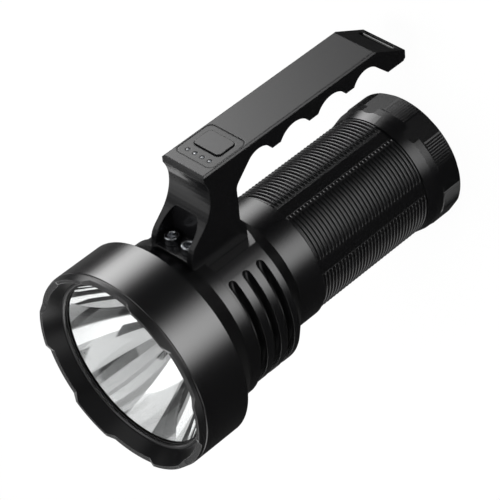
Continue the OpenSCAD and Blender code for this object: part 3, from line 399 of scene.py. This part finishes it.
def thread(z0, z1):
    """Thread rings between two heights, as outline points going up: crest, crest, root, root."""
    turns = int((z1 - z0) / PITCH)
    return [(THREAD_R - drop * THREAD_DEPTH, z0 + PITCH * (k + share)) for k in range(turns)
            for share, drop in ((0.0, 0), (0.25, 0), (0.5, 1), (0.75, 1))]


tube_outline = (
    [(BORE_R, grip_low), (THREAD_R - END_CHAMFER, grip_low), (THREAD_R, grip_low + END_CHAMFER)]
    + thread(grip_low + LEAD_IN, GRIP_START - RUN_OUT)
    + [(THREAD_R, GRIP_START - LEAD_IN), (THREAD_R, GRIP_START), (GAP_FLOOR_R, GRIP_START),
       (GAP_FLOOR_R, GRIP_END), (THREAD_R, GRIP_END)]
    + thread(GRIP_END + RUN_OUT, grip_high - LEAD_IN)
    + [(THREAD_R, grip_high - END_CHAMFER), (THREAD_R - END_CHAMFER, grip_high), (BORE_R, grip_high)])
tube = turned("battery_tube_core", eased(tube_outline), materials["ribbed_black"], tube_angles, channelled)
keep(tube, "lamp", "anodised_black", "battery_tube")

# %% [markdown]
# Geometry Nodes grow whatever repeats. In a tree, a number that differs from point to point is a
# field. The small class below gives a field the signs of plain arithmetic, each of which adds a
# Math node, so a formula in the tree reads as it would on paper.

# %% Fields with arithmetic
class Field:
    """A socket that can be added, subtracted, multiplied and divided."""

    def __init__(self, tree, socket):
        self.tree, self.socket = tree, socket

    def math(self, operation, *others):
        """One Math node on this field and any other fields or numbers."""
        node = add(self.tree, "ShaderNodeMath", dict(enumerate((self, *others))), operation=operation)
        return Field(self.tree, node.outputs[0])

    def __add__(self, other):
        return self.math("ADD", other)

    def __sub__(self, other):
        return self.math("SUBTRACT", other)

    def __rsub__(self, number):
        return self * -1.0 + number

    def __mul__(self, other):
        return self.math("MULTIPLY", other)

    __rmul__ = __mul__

    def __truediv__(self, other):
        return self.math("DIVIDE", other)


def around(tree, radius, angle, height=0.0):
    """The place at a radius, angle and height about the Z axis."""
    return add(tree, "ShaderNodeCombineXYZ", {
        "X": radius * angle.math("COSINE"), "Y": radius * angle.math("SINE"), "Z": height}).outputs[0]


# %% [markdown]
# A tree gets a named input for each of its sizes. It is run once on an empty host, the result is
# kept as a plain mesh, and the modifier is removed. A repeated shape starts as a flat grid that
# is bent by a formula, so its seam and its poles are merged where points meet.

# %% Geometry Nodes helpers
def new_tree(name, sizes):
    """A geometry tree with one float input per size. Returns it and the sizes as fields."""
    tree = bpy.data.node_groups.new(name, "GeometryNodeTree")
    for size, value in sizes.items():
        tree.interface.new_socket(size, in_out="INPUT", socket_type="NodeSocketFloat").default_value = value
    tree.interface.new_socket("Geometry", in_out="OUTPUT", socket_type="NodeSocketGeometry")
    inputs = add(tree, "NodeGroupInput").outputs
    return tree, {size: Field(tree, inputs[size]) for size in sizes}


def flat_grid(tree, columns, rows):
    """A grid of points, with their two coordinates as fields that run from -0.5 to 0.5."""
    grid = add(tree, "GeometryNodeMeshGrid", {"Size X": 1.0, "Size Y": 1.0, "Vertices X": columns,
                                              "Vertices Y": rows})
    axes = add(tree, "ShaderNodeSeparateXYZ", {0: add(tree, "GeometryNodeInputPosition").outputs[0]})
    return grid.outputs["Mesh"], Field(tree, axes.outputs["X"]), Field(tree, axes.outputs["Y"])


def bend(tree, grid, places):
    """The grid with each point at its place, and points that meet merged."""
    bent = add(tree, "GeometryNodeSetPosition", {"Geometry": grid, "Position": places})
    merged = add(tree, "GeometryNodeMergeByDistance", {"Geometry": bent.outputs[0], "Distance": MERGE})
    return merged.outputs[0]


def grow(tree, geometry, material, name, sizes):
    """Ends the tree, runs it on an empty host and returns the host with the plain mesh."""
    whole = add(tree, "GeometryNodeRealizeInstances", {"Geometry": geometry})
    dressed = add(tree, "GeometryNodeSetMaterial", {"Geometry": whole.outputs[0], "Material": material})
    add(tree, "NodeGroupOutput", {"Geometry": dressed.outputs[0]})
    host = bpy.data.objects.new(name, bpy.data.meshes.new(name))
    bpy.context.scene.collection.objects.link(host)
    modifier = host.modifiers.new("grow", "NODES")
    modifier.node_group = tree
    for item in tree.interface.items_tree:
        if item.in_out == "INPUT":
            modifier[item.identifier] = sizes[item.name]
    graph = bpy.context.evaluated_depsgraph_get()
    mesh = bpy.data.meshes.new_from_object(host.evaluated_get(graph), depsgraph=graph)
    host.modifiers.remove(modifier)
    host.data = mesh
    return host


# %% [markdown]
# Between two channels the grip carries 33 ribs. One rib is a grid bent twice: one way along the
# arc, the other round a small section that is full on top and sunk into the tube below. Its
# ends stop at the channel's 45 degree wall, which moves outward as the rib rises.

# %% One grip rib
RIBS, RIB_W, RIB_SINK, RIB_COLUMNS, RIB_ROWS = 33, 1.55, 0.05, 17, 19
# Powers that square the rib's ends and fill its top, and its underside's depth for its height
SQUARE_ENDS, FULL_TOP, UNDERSIDE = 24.0, 0.75, 0.4
rib_sizes = {"Rib width": RIB_W * MM, "Rib height": (TUBE_R - GAP_FLOOR_R) * MM,
             "Root radius": (GAP_FLOOR_R - RIB_SINK) * MM, "Channel width": CHANNEL_W * MM,
             "Tube radius": TUBE_R * MM}
tree, size = new_tree("grip_ribs", rib_sizes)
grid, across, round_section = flat_grid(tree, RIB_COLUMNS, RIB_ROWS)
along, turn = across * 2.0, round_section * math.tau
full = (1.0 - along.math("ABSOLUTE").math("POWER", SQUARE_ENDS)).math("MAXIMUM", 0.0).math("SQRT")
above = turn.math("COSINE").math("MAXIMUM", 0.0).math("POWER", FULL_TOP)
below = turn.math("COSINE").math("MINIMUM", 0.0) * UNDERSIDE
radius = size["Root radius"] + (above + below) * full * (size["Rib height"] + RIB_SINK * MM)
reach = size["Channel width"] * 0.5 + (radius - size["Tube radius"])
limit = math.pi / CHANNELS - (reach / radius).math("ARCSINE")
height = turn.math("SINE") * full * (size["Rib width"] * 0.5)
rib = bend(tree, grid, around(tree, radius, along * limit, height))
print("rib:", RIB_W, "mm wide,", round(TUBE_R - GAP_FLOOR_R, 2), "mm high")

# %% [markdown]
# A line of points repeats the rib along the grip, and six turned points repeat the set round it.

# %% All the grip's ribs
rib_pitch = (GRIP_END - GRIP_START - RIB_W) / (RIBS - 1)
row = add(tree, "GeometryNodeMeshLine", {
    "Count": RIBS, "Start Location": (0, 0, (GRIP_START + RIB_W / 2) * MM), "Offset": (0, 0, rib_pitch * MM)})
ribs = add(tree, "GeometryNodeInstanceOnPoints", {"Points": row.outputs[0], "Instance": rib})
number = Field(tree, add(tree, "GeometryNodeInputIndex").outputs[0])
spin = number * CHANNEL_STEP + (FIRST_CHANNEL + CHANNEL_STEP / 2)
sectors = add(tree, "GeometryNodePoints", {"Count": CHANNELS})
all_ribs = add(tree, "GeometryNodeInstanceOnPoints", {
    "Points": sectors.outputs[0], "Instance": ribs.outputs[0],
    "Rotation": add(tree, "ShaderNodeCombineXYZ", {"Z": spin}).outputs[0]})
keep(grow(tree, all_ribs.outputs[0], materials["ribbed_black"], "grip_ribs", rib_sizes),
     "lamp", "anodised_black", "battery_tube")
print("rib pitch:", round(rib_pitch, 3), "mm")

# %% [markdown]
# Small turned parts repeat too. `lathe` bends a grid into one: each row looks its radius and
# height up in an Index Switch. A row may be hexagonal, as a key socket is, and may carry
# scallops, as the side of a cap screw's head does.

# %% A lathe in Geometry Nodes
SCALLOPS, HEX_FLAT = 24.0, math.pi / 3


def by_row(tree, row, values):
    """The value that belongs to this row of the grid."""
    switch = add(tree, "GeometryNodeIndexSwitch", data_type="FLOAT")
    for _ in values[2:]:
        switch.index_switch_items.new()
    tree.links.new(row.socket, switch.inputs["Index"])
    for k, value in enumerate(values):
        switch.inputs[k + 1].default_value = value
    return Field(tree, switch.outputs[0])


def lathe(tree, columns, rows):
    """Rows are (radius, height, hexagonal, scallop) in mm, from the lower pole to the upper."""
    grid, across, up = flat_grid(tree, columns + 1, len(rows))
    angle = across * math.tau
    row = ((up + 0.5) * (len(rows) - 1.0)).math("ROUND")
    radius, height, hexagonal, scallop = [by_row(tree, row, [r[k] for r in rows]) for k in range(4)]
    flat = (angle.math("FLOORED_MODULO", HEX_FLAT) - HEX_FLAT / 2).math("COSINE")
    stretch = hexagonal * ((1.0 - flat) / flat) + 1.0
    wave = (angle * SCALLOPS).math("COSINE") * scallop
    return bend(tree, grid, around(tree, (radius * stretch + wave) * MM, angle, height * MM))


def side_by_side(tree, low, radius, count, spacing, part):
    """Copies of a turned part in a row along Y, laid from Z on to X. `low` is their box's corner."""
    first = (low.x * MM, (low.y + radius) * MM, (low.z + radius) * MM)
    step = add(tree, "ShaderNodeCombineXYZ", {"Y": spacing})
    row = add(tree, "GeometryNodeMeshLine", {
        "Count": count, "Start Location": first, "Offset": step.outputs[0]})
    return add(tree, "GeometryNodeInstanceOnPoints", {
        "Points": row.outputs[0], "Instance": part, "Rotation": (0, math.pi / 2, 0)}).outputs[0]


print("lathe:", int(SCALLOPS), "scallops,", round(math.tau / HEX_FLAT), "flats")

# %% [markdown]
# Two black cap screws hold the handle down inside its arched pocket. Each has a scalloped head,
# a hexagonal key socket with a small chamfer, and a plain shank. They stand along X.

# %% Handle screws
screw_low, screw_high = [Vector(corner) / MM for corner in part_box("handle_screws")]
SCREW_HEAD_R, SCREW_HEAD_H, SHANK_R, SOCKET_R, SCALLOP, SCREW_STEPS = 3.5, 4.0, 2.0, 1.75, 0.06, 144
top = screw_high.x - screw_low.x
under_head = top - SCREW_HEAD_H
screw_rows = [
    # The shank, with its end chamfered
    (0, 0, 0, 0), (SHANK_R - 0.4, 0, 0, 0), (SHANK_R, 0.4, 0, 0), (SHANK_R, under_head, 0, 0),
    # The head's side, scalloped between two plain edges
    (SCREW_HEAD_R - 0.2, under_head, 0, 0), (SCREW_HEAD_R, under_head + 0.3, 0, 0),
    (SCREW_HEAD_R - SCALLOP, under_head + 0.6, 0, SCALLOP), (SCREW_HEAD_R - SCALLOP, top - 0.8, 0, SCALLOP),
    (SCREW_HEAD_R, top - 0.5, 0, 0), (SCREW_HEAD_R - 0.12, top - 0.18, 0, 0), (SCREW_HEAD_R - 0.4, top, 0, 0),
    # The key socket: chamfer, six flat walls and a shallow cone
    (SOCKET_R + 0.4, top, 0, 0), (SOCKET_R, top - 0.25, 1, 0), (SOCKET_R, top - 2.2, 1, 0),
    (0, top - 2.6, 0, 0)]
screw_sizes = {"Screw distance": (screw_high.y - screw_low.y - 2 * SCREW_HEAD_R) * MM}
tree, size = new_tree("cap_screws", screw_sizes)
screw = lathe(tree, SCREW_STEPS, screw_rows)
screws = side_by_side(tree, screw_low, SCREW_HEAD_R, 2, size["Screw distance"], screw)
keep(grow(tree, screws, materials["black_steel"], "handle_cap_screws", screw_sizes),
     "lamp", "black_steel", "handle_screws")

# %% [markdown]
# The four indicator lights are smoked rods with a shallow domed end, a little below the panel.
# The same lathe turns them, with fewer steps round, as each is under two millimetres across.

# %% Indicator lights
dots_low, dots_high = [Vector(corner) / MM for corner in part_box("indicator_lights")]
DOT_R, DOTS, DOT_STEPS = 0.9, 4, 36
top = dots_high.x - dots_low.x
dot_rows = [(0, 0, 0, 0), (DOT_R, 0, 0, 0), (DOT_R, top - 0.3, 0, 0), (DOT_R - 0.05, top - 0.2, 0, 0),
            (0.6, top - 0.07, 0, 0), (0.3, top - 0.01, 0, 0), (0, top, 0, 0)]
dot_sizes = {"Light pitch": (dots_high.y - dots_low.y - 2 * DOT_R) / (DOTS - 1) * MM}
tree, size = new_tree("indicator_lights", dot_sizes)
dots = side_by_side(tree, dots_low, DOT_R, DOTS, size["Light pitch"], lathe(tree, DOT_STEPS, dot_rows))
keep(grow(tree, dots, materials["light_pipe"], "indicator_domes", dot_sizes),
     "lamp", "light_pipe", "indicator_lights")

# %% [markdown]
# Four conical springs press the cell holder to the contact board: one on the beam axis, three
# round it. A wound spring is a wire swept along a spiral, so Curve to Mesh makes it, capped.

# %% Contact springs
WIRE_R, WIRE_SIDES, WIRE_CLEARANCE = 0.5, 12, 0.1
SPRING_TURNS, STEPS_A_TURN, SPRING_TAPER = 4.0, 40, 1.0
CENTRE_R, OUTER_R, OUTER_AT, OUTER_SPRINGS, FIRST_OUTER = 5.0, 3.0, 16.0, 3, math.radians(30)
spring_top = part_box("contact_springs")[1][2] - WIRE_R * MM
centre_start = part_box("holder_contacts")[1][2] + (WIRE_R + WIRE_CLEARANCE) * MM
outer_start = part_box("contact_springs")[0][2] + WIRE_R * MM
spring_sizes = {"Wire radius": WIRE_R * MM}
tree, size = new_tree("wound_springs", spring_sizes)
wire = add(tree, "GeometryNodeCurvePrimitiveCircle", {
    "Resolution": WIRE_SIDES, "Radius": size["Wire radius"]})


def wound(radius, start):
    """One conical spring of the shared wire, its foot at the height given in metres."""
    coil = add(tree, "GeometryNodeCurveSpiral", {
        "Resolution": STEPS_A_TURN, "Rotations": SPRING_TURNS, "Height": spring_top - start,
        "Start Radius": (radius - SPRING_TAPER) * MM, "End Radius": radius * MM})
    placed = add(tree, "GeometryNodeTransform", {"Geometry": coil.outputs[0], "Translation": (0, 0, start)})
    return add(tree, "GeometryNodeCurveToMesh", {
        "Curve": placed.outputs[0], "Profile Curve": wire.outputs[0], "Fill Caps": True}).outputs[0]


number = Field(tree, add(tree, "GeometryNodeInputIndex").outputs[0])
turn = number * (math.tau / OUTER_SPRINGS) + FIRST_OUTER
seats = add(tree, "GeometryNodePoints", {
    "Count": OUTER_SPRINGS, "Position": around(tree, OUTER_AT * MM, turn)})
outer = add(tree, "GeometryNodeInstanceOnPoints", {
    "Points": seats.outputs[0], "Instance": wound(OUTER_R, outer_start)})
springs = add(tree, "GeometryNodeJoinGeometry")
for geometry in (wound(CENTRE_R, centre_start), outer.outputs[0]):
    tree.links.new(geometry, springs.inputs[0])
keep(grow(tree, springs.outputs[0], materials["gold_contact"], "wound_springs", spring_sizes),
     "lamp", "gold_contact", "contact_springs")

# %% [markdown]
# The head is one turned shell, the largest surface in the picture, so it gets real broken edges
# and the fine bead line where its front chamfer starts. The rim is milled down on six stretches.
# Their floors are 1.9 mm lower and ramp up at both ends, and the rim's two edges slide along the
# chamfer and the crater's cone as they go down.

# %% The head's rim
shell_low, shell_high = [Vector(corner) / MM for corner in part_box("head_shell")]
HEAD_R, RIM_R, CRATER_R, GLASS_R, THROAT_R, SPIGOT_R = 50.0, 49.0, 47.5, 43.58, 42.2, 45.98
CHAMFER, CRATER, GLASS_STACK, SPIGOT, BEAD, REAR_CHAMFER = 3.6, 8.0, 5.4, 7.1, 0.45, 0.5
NOTCHES, NOTCH, FLOOR_REACH, RAMP_REACH, RIM_BAND = 6, 1.9, 11.31, 14.98, 0.5
NOTCH_STEP = math.tau / NOTCHES
z_rim, z_rear = shell_high.z, shell_low.z
z_chamfer, z_glass = z_rim - CHAMFER, z_rim - CRATER


def notched(r, z, angle):
    """The rim's points, lowered over the six milled stretches."""
    if z < z_rim - RIM_BAND:
        return r, z
    aside = abs(r * math.sin((angle + NOTCH_STEP / 2) % NOTCH_STEP - NOTCH_STEP / 2))
    drop = NOTCH * min(1.0, max(0.0, (RAMP_REACH - aside) / (RAMP_REACH - FLOOR_REACH)))
    outer = drop * (HEAD_R - RIM_R) / CHAMFER
    inner = -drop * (CRATER_R - GLASS_R) / CRATER
    return r + (outer if r > (RIM_R + CRATER_R) / 2 else inner), z - drop


notch_angles = [k * NOTCH_STEP + side * math.asin(reach / RIM_R) for k in range(NOTCHES)
                for side in (-1, 1) for reach in (FLOOR_REACH, RAMP_REACH)]
shell_angles = sorted({round(a % math.tau, 6) for a in notch_angles + full_circle})
print("rim:", NOTCHES, "notches,", NOTCH, "mm deep, in", len(shell_angles), "steps round")

# %% [markdown]
# The shell's small broken edges must stay crisp, so faces are smoothed together only where they
# meet at less than 8 degrees. The cone of the crater takes a darker, duller copy of the finish,
# face by face, as painted shade in the recess.

# %% Head shell
FINE_SHARP, CRATER_TRIM = 8, 0.2
shell_outline = [
    (SPIGOT_R, z_rear), (HEAD_R - REAR_CHAMFER, z_rear), (HEAD_R, z_rear + REAR_CHAMFER),
    (HEAD_R, z_chamfer - 2 * BEAD), (HEAD_R - BEAD, z_chamfer - BEAD), (HEAD_R, z_chamfer),
    (RIM_R, z_rim), (CRATER_R, z_rim), (GLASS_R, z_glass), (GLASS_R, z_glass - GLASS_STACK),
    (THROAT_R, z_glass - GLASS_STACK), (THROAT_R, z_rear + SPIGOT), (SPIGOT_R, z_rear + SPIGOT)]
shell = turned("head_shell_turned", eased(shell_outline), materials["turned_black"], shell_angles, notched)
# The crater's faces get the darker, duller copy: painted shade in the recess
shell.data.materials.append(materials["crater_painted_shade"])
for face in shell.data.polygons:
    from_axis, face_z = Vector(face.center[:2]).length / MM, face.center.z / MM
    if GLASS_R < from_axis < CRATER_R - CRATER_TRIM and z_glass < face_z < z_rim - CRATER_TRIM:
        face.material_index = 1
keep(shell, "lamp", "anodised_black", "head_shell", sharp=FINE_SHARP)

# %% [markdown]
# The mirror is a paraboloid with the emitter at its focus. The solid's facets would show in it,
# so it is turned again from the curve's own formula.

# %% Reflector
dish_low, dish_high = [Vector(corner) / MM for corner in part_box("reflector")]
MOUTH_R, HOLE_R, MIRROR_T, FLANGE_T, DISH_STEPS = 41.2, 10.5, 1.3, 1.4, 72
flange_r, flange_z = dish_high.x, dish_high.z - FLANGE_T
focal = (MOUTH_R ** 2 - HOLE_R ** 2) / (4 * (dish_high.z - dish_low.z))


def dish(r, wall=0.0):
    """A point of the mirror's curve at radius r, or of its back at the wall's distance."""
    return (r + wall, dish_low.z + (r * r - HOLE_R ** 2) / (4 * focal))


radii = [HOLE_R + (MOUTH_R - HOLE_R) * k / DISH_STEPS for k in range(DISH_STEPS + 1)]
back = [dish(r, MIRROR_T) for r in radii if dish(r)[1] < flange_z]
mirror_outline = ([dish(r) for r in radii] + [(flange_r, dish_high.z), (flange_r, flange_z),
                  (back[-1][0], flange_z)] + back[::-1])
keep(turned("deep_reflector", mirror_outline, materials["reflector_mirror"], full_circle),
     "lamp", "reflector_mirror", "reflector")
print("focal length:", round(focal, 2), "mm")

# %% [markdown]
# The glass in front is a plain disc with a ground edge. Its faces have to stay dead flat up to
# that edge, or they would bend what is seen through them, so it is smoothed as little as the head.

# %% Front glass
LENS_EDGE, LENS_EDGE_STEPS = 0.3, 3
lens_low, lens_high = [Vector(corner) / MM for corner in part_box("front_lens")]
disc = [(0, lens_low.z), (lens_high.x, lens_low.z), (lens_high.x, lens_high.z), (0, lens_high.z)]
keep(turned("front_glass", eased(disc, LENS_EDGE, LENS_EDGE_STEPS), materials["clear_glass"], full_circle),
     "lamp", "clear_glass", "front_lens", sharp=FINE_SHARP)

# %% [markdown]
# A pale floor carries the light. The camera, looking at it or through the glass, sees mostly an
# even white that the paper gives off, and only the soft shadow under the light darkens it. Mirrors
# don't see the floor: below the horizon they show the world's strips instead.

# %% Floor
FLOOR_HALF_SIDE, FLOOR_WHITE = 3.0, 0.94
floor_mesh = bpy.data.meshes.new("studio_floor")
floor_corners = [(x * FLOOR_HALF_SIDE, y * FLOOR_HALF_SIDE, 0)
                 for x, y in ((-1, -1), (1, -1), (1, 1), (-1, 1))]
floor_mesh.from_pydata(floor_corners, [], [(0, 1, 2, 3)])
floor = bpy.data.objects.new("studio_floor", floor_mesh)
bpy.context.scene.collection.objects.link(floor)
floor.visible_glossy = False
paper = bpy.data.materials.new("white_paper")
paper.use_nodes = True
tree = paper.node_tree
tree.nodes.clear()
matte = add(tree, "ShaderNodeBsdfDiffuse", {"Color": linear("#f6f6f6")})
white = add(tree, "ShaderNodeEmission", {"Strength": 1.0})
rays = add(tree, "ShaderNodeLightPath")
seen = Field(tree, rays.outputs["Is Camera Ray"]).math("MAXIMUM", rays.outputs["Is Transmission Ray"])
mixed = add(tree, "ShaderNodeMixShader", {0: seen * FLOOR_WHITE, 1: matte.outputs[0], 2: white.outputs[0]})
add(tree, "ShaderNodeOutputMaterial", {"Surface": mixed.outputs[0]})
floor_mesh.materials.append(paper)
print("floor:", 2 * FLOOR_HALF_SIDE, "m square")

# %% [markdown]
# Polished pieces mirror the world, which is painted as a studio: a dark room, two tall strip lamps
# below the horizon on either side of the handle, and cards hung in a ring overhead. The strips
# draw the paired bands that run down the head, collar and grip. A direction is read as its bearing
# round the beam axis, in degrees, and its height, from -1 straight down to 1 overhead. `panel` and
# `rise` turn these two into brightness.

# %% Studio world and its strip lamps
world = bpy.data.worlds.new("studio")
bpy.context.scene.world = world
world.use_nodes = True
tree = world.node_tree
tree.nodes.clear()
toward = add(tree, "ShaderNodeSeparateXYZ", {0: add(tree, "ShaderNodeTexCoord").outputs["Generated"]})
bearing = Field(tree, toward.outputs["Y"]).math("ARCTAN2", toward.outputs["X"])


def panel(centre, inner, outer):
    """1 within `inner` degrees of a bearing, falling to 0 at `outer`."""
    off = (bearing - math.radians(centre)).math("ABSOLUTE")
    return Field(tree, add(tree, "ShaderNodeMapRange", {
        "Value": off, "From Min": math.radians(inner), "From Max": math.radians(outer),
        "To Min": 1.0, "To Max": 0.0}, interpolation_type="SMOOTHSTEP").outputs[0])


def rise(low, high, value_low, value_high):
    """A smooth step on the direction's height."""
    return Field(tree, add(tree, "ShaderNodeMapRange", {
        "Value": toward.outputs["Z"], "From Min": low, "From Max": high, "To Min": value_low,
        "To Max": value_high}, interpolation_type="SMOOTHSTEP").outputs[0])


STRIP_FOOT, STRIP_PEAK, STRIP_FADE = 0.4, 13.6, 0.3
GLOW_FOOT, GLOW = 0.016, 0.16
# Brightest just above the foot, the strips fade upward and end at the horizon
strips = (panel(-52, 4, 33).math("MAXIMUM", panel(51, 4, 30)) * rise(-0.58, -0.43, STRIP_FOOT, STRIP_PEAK)
          * rise(-0.4, -0.1, 1.0, STRIP_FADE) * rise(-0.1, 0.02, 1.0, 0.0))
# A weak glow from behind the light, as the camera sees it, keeps its far edge from going black
side_glow = panel(112, 8, 28) * rise(-0.55, -0.45, GLOW_FOOT, GLOW)
print("strip lamps at bearings -52 and 51, brightness up to", STRIP_PEAK)

# %% [markdown]
# The deep mirror turns each card's upright edge into a straight ray. White cards with black flags
# between them give it the photograph's light and dark wedges. Each is laid over what hangs behind
# it, from the ceiling's even glow down the list.

# %% Cards and flags overhead
EDGE_DEGREES, EDGE_HEIGHT = 1, 0.01


def card(below, centre, half, lowest, highest, brightness):
    """A card or flag over what hangs behind it: bearing, half width and heights in degrees."""
    low, high = math.sin(math.radians(lowest)), math.sin(math.radians(highest))
    span = (rise(low - EDGE_HEIGHT, low + EDGE_HEIGHT, 0.0, 1.0)
            * rise(high - EDGE_HEIGHT, high + EDGE_HEIGHT, 1.0, 0.0))
    cover = panel(centre, half - EDGE_DEGREES, half + EDGE_DEGREES) * span
    return Field(tree, add(tree, "ShaderNodeMix", {0: cover, 2: below, 3: brightness},
                           data_type="FLOAT").outputs[0])


cards = [
    # White and pale cards
    (-158, 16, 0, 89, 2.8), (-111, 11, 0, 89, 1.8), (-81, 19, 0, 89, 0.8), (25, 20, 0, 89, 1.1),
    (35, 30, 29, 89, 1.8), (112, 20, 0, 89, 1.3), (152, 20, 0, 89, 1.9),
    # Black flags between and before them
    (-134, 10, 0, 89, 0.02), (-99, 8, 31, 89, 0.02), (-53, 8.5, 0, 89, 0.25), (-53, 8, 27, 40, 0.02),
    (56, 10.5, 0, 24, 0.03), (-14, 7, 45, 89, 0.03), (87, 6, 0, 89, 0.05), (-45, 48, 0, 23.5, 0.03),
    # The flag that the flat front glass mirrors toward the camera
    (140, 8, 19, 35, 0.02)]
ceiling = rise(-0.08, 0.05, 0.0, 0.52)
for each_card in cards:
    ceiling = card(ceiling, *each_card)
print("cards and flags:", len(cards))

# %% [markdown]
# Only mirrored and transmitted rays see the studio. The camera itself sees plain white, and matte
# surfaces are lit by one even grey, so the cards leave no patches on them.

# %% Mix the world by the kind of ray
DARK_ROOM, EVEN_LIGHT, CAMERA_WHITE = 0.04, 0.48, 1.0
studio = strips + side_glow + (ceiling + DARK_ROOM)
rays = add(tree, "ShaderNodeLightPath")
mirrored = Field(tree, rays.outputs["Is Glossy Ray"]).math("MAXIMUM", rays.outputs["Is Transmission Ray"])
lit = add(tree, "ShaderNodeMix", {0: mirrored, 2: EVEN_LIGHT, 3: studio}, data_type="FLOAT")
strength = add(tree, "ShaderNodeMix", {0: rays.outputs["Is Camera Ray"], 2: lit.outputs[0], 3: CAMERA_WHITE},
               data_type="FLOAT")
sky = add(tree, "ShaderNodeBackground", {"Color": linear("#ffffff"), "Strength": strength.outputs[0]})
add(tree, "ShaderNodeOutputWorld", {"Surface": sky.outputs[0]})
print("world nodes:", len(tree.nodes))

# %% [markdown]
# Two broad soft lamps overhead give the matte pieces their light and the floor its shadow.

# %% Lamps
def soft_lamp(name, bearing, height, side, power):
    """A square area lamp, a metre from the middle of the light and aimed at it, seen by no mirror."""
    target = Vector((0, 0, (cad_low[2] + cad_high[2]) / 2))
    data = bpy.data.lights.new(name, "AREA")
    data.size, data.energy = side, power
    lamp = bpy.data.objects.new(name, data)
    bpy.context.scene.collection.objects.link(lamp)
    up, turn = math.radians(height), math.radians(bearing)
    lamp.location = target + Vector(
        (math.cos(turn) * math.cos(up), math.sin(turn) * math.cos(up), math.sin(up)))
    lamp.rotation_euler = (target - lamp.location).to_track_quat("-Z", "Y").to_euler()
    lamp.visible_glossy = lamp.visible_transmission = False
    print(name, power, "W")


soft_lamp("key_lamp", bearing=-20, height=60, side=0.9, power=9.0)
soft_lamp("fill_lamp", bearing=120, height=65, side=0.9, power=6.0)

# %% [markdown]
# The picture is shown through the Standard view transform.

# %% View transform
bpy.context.scene.view_settings.view_transform = "Standard"
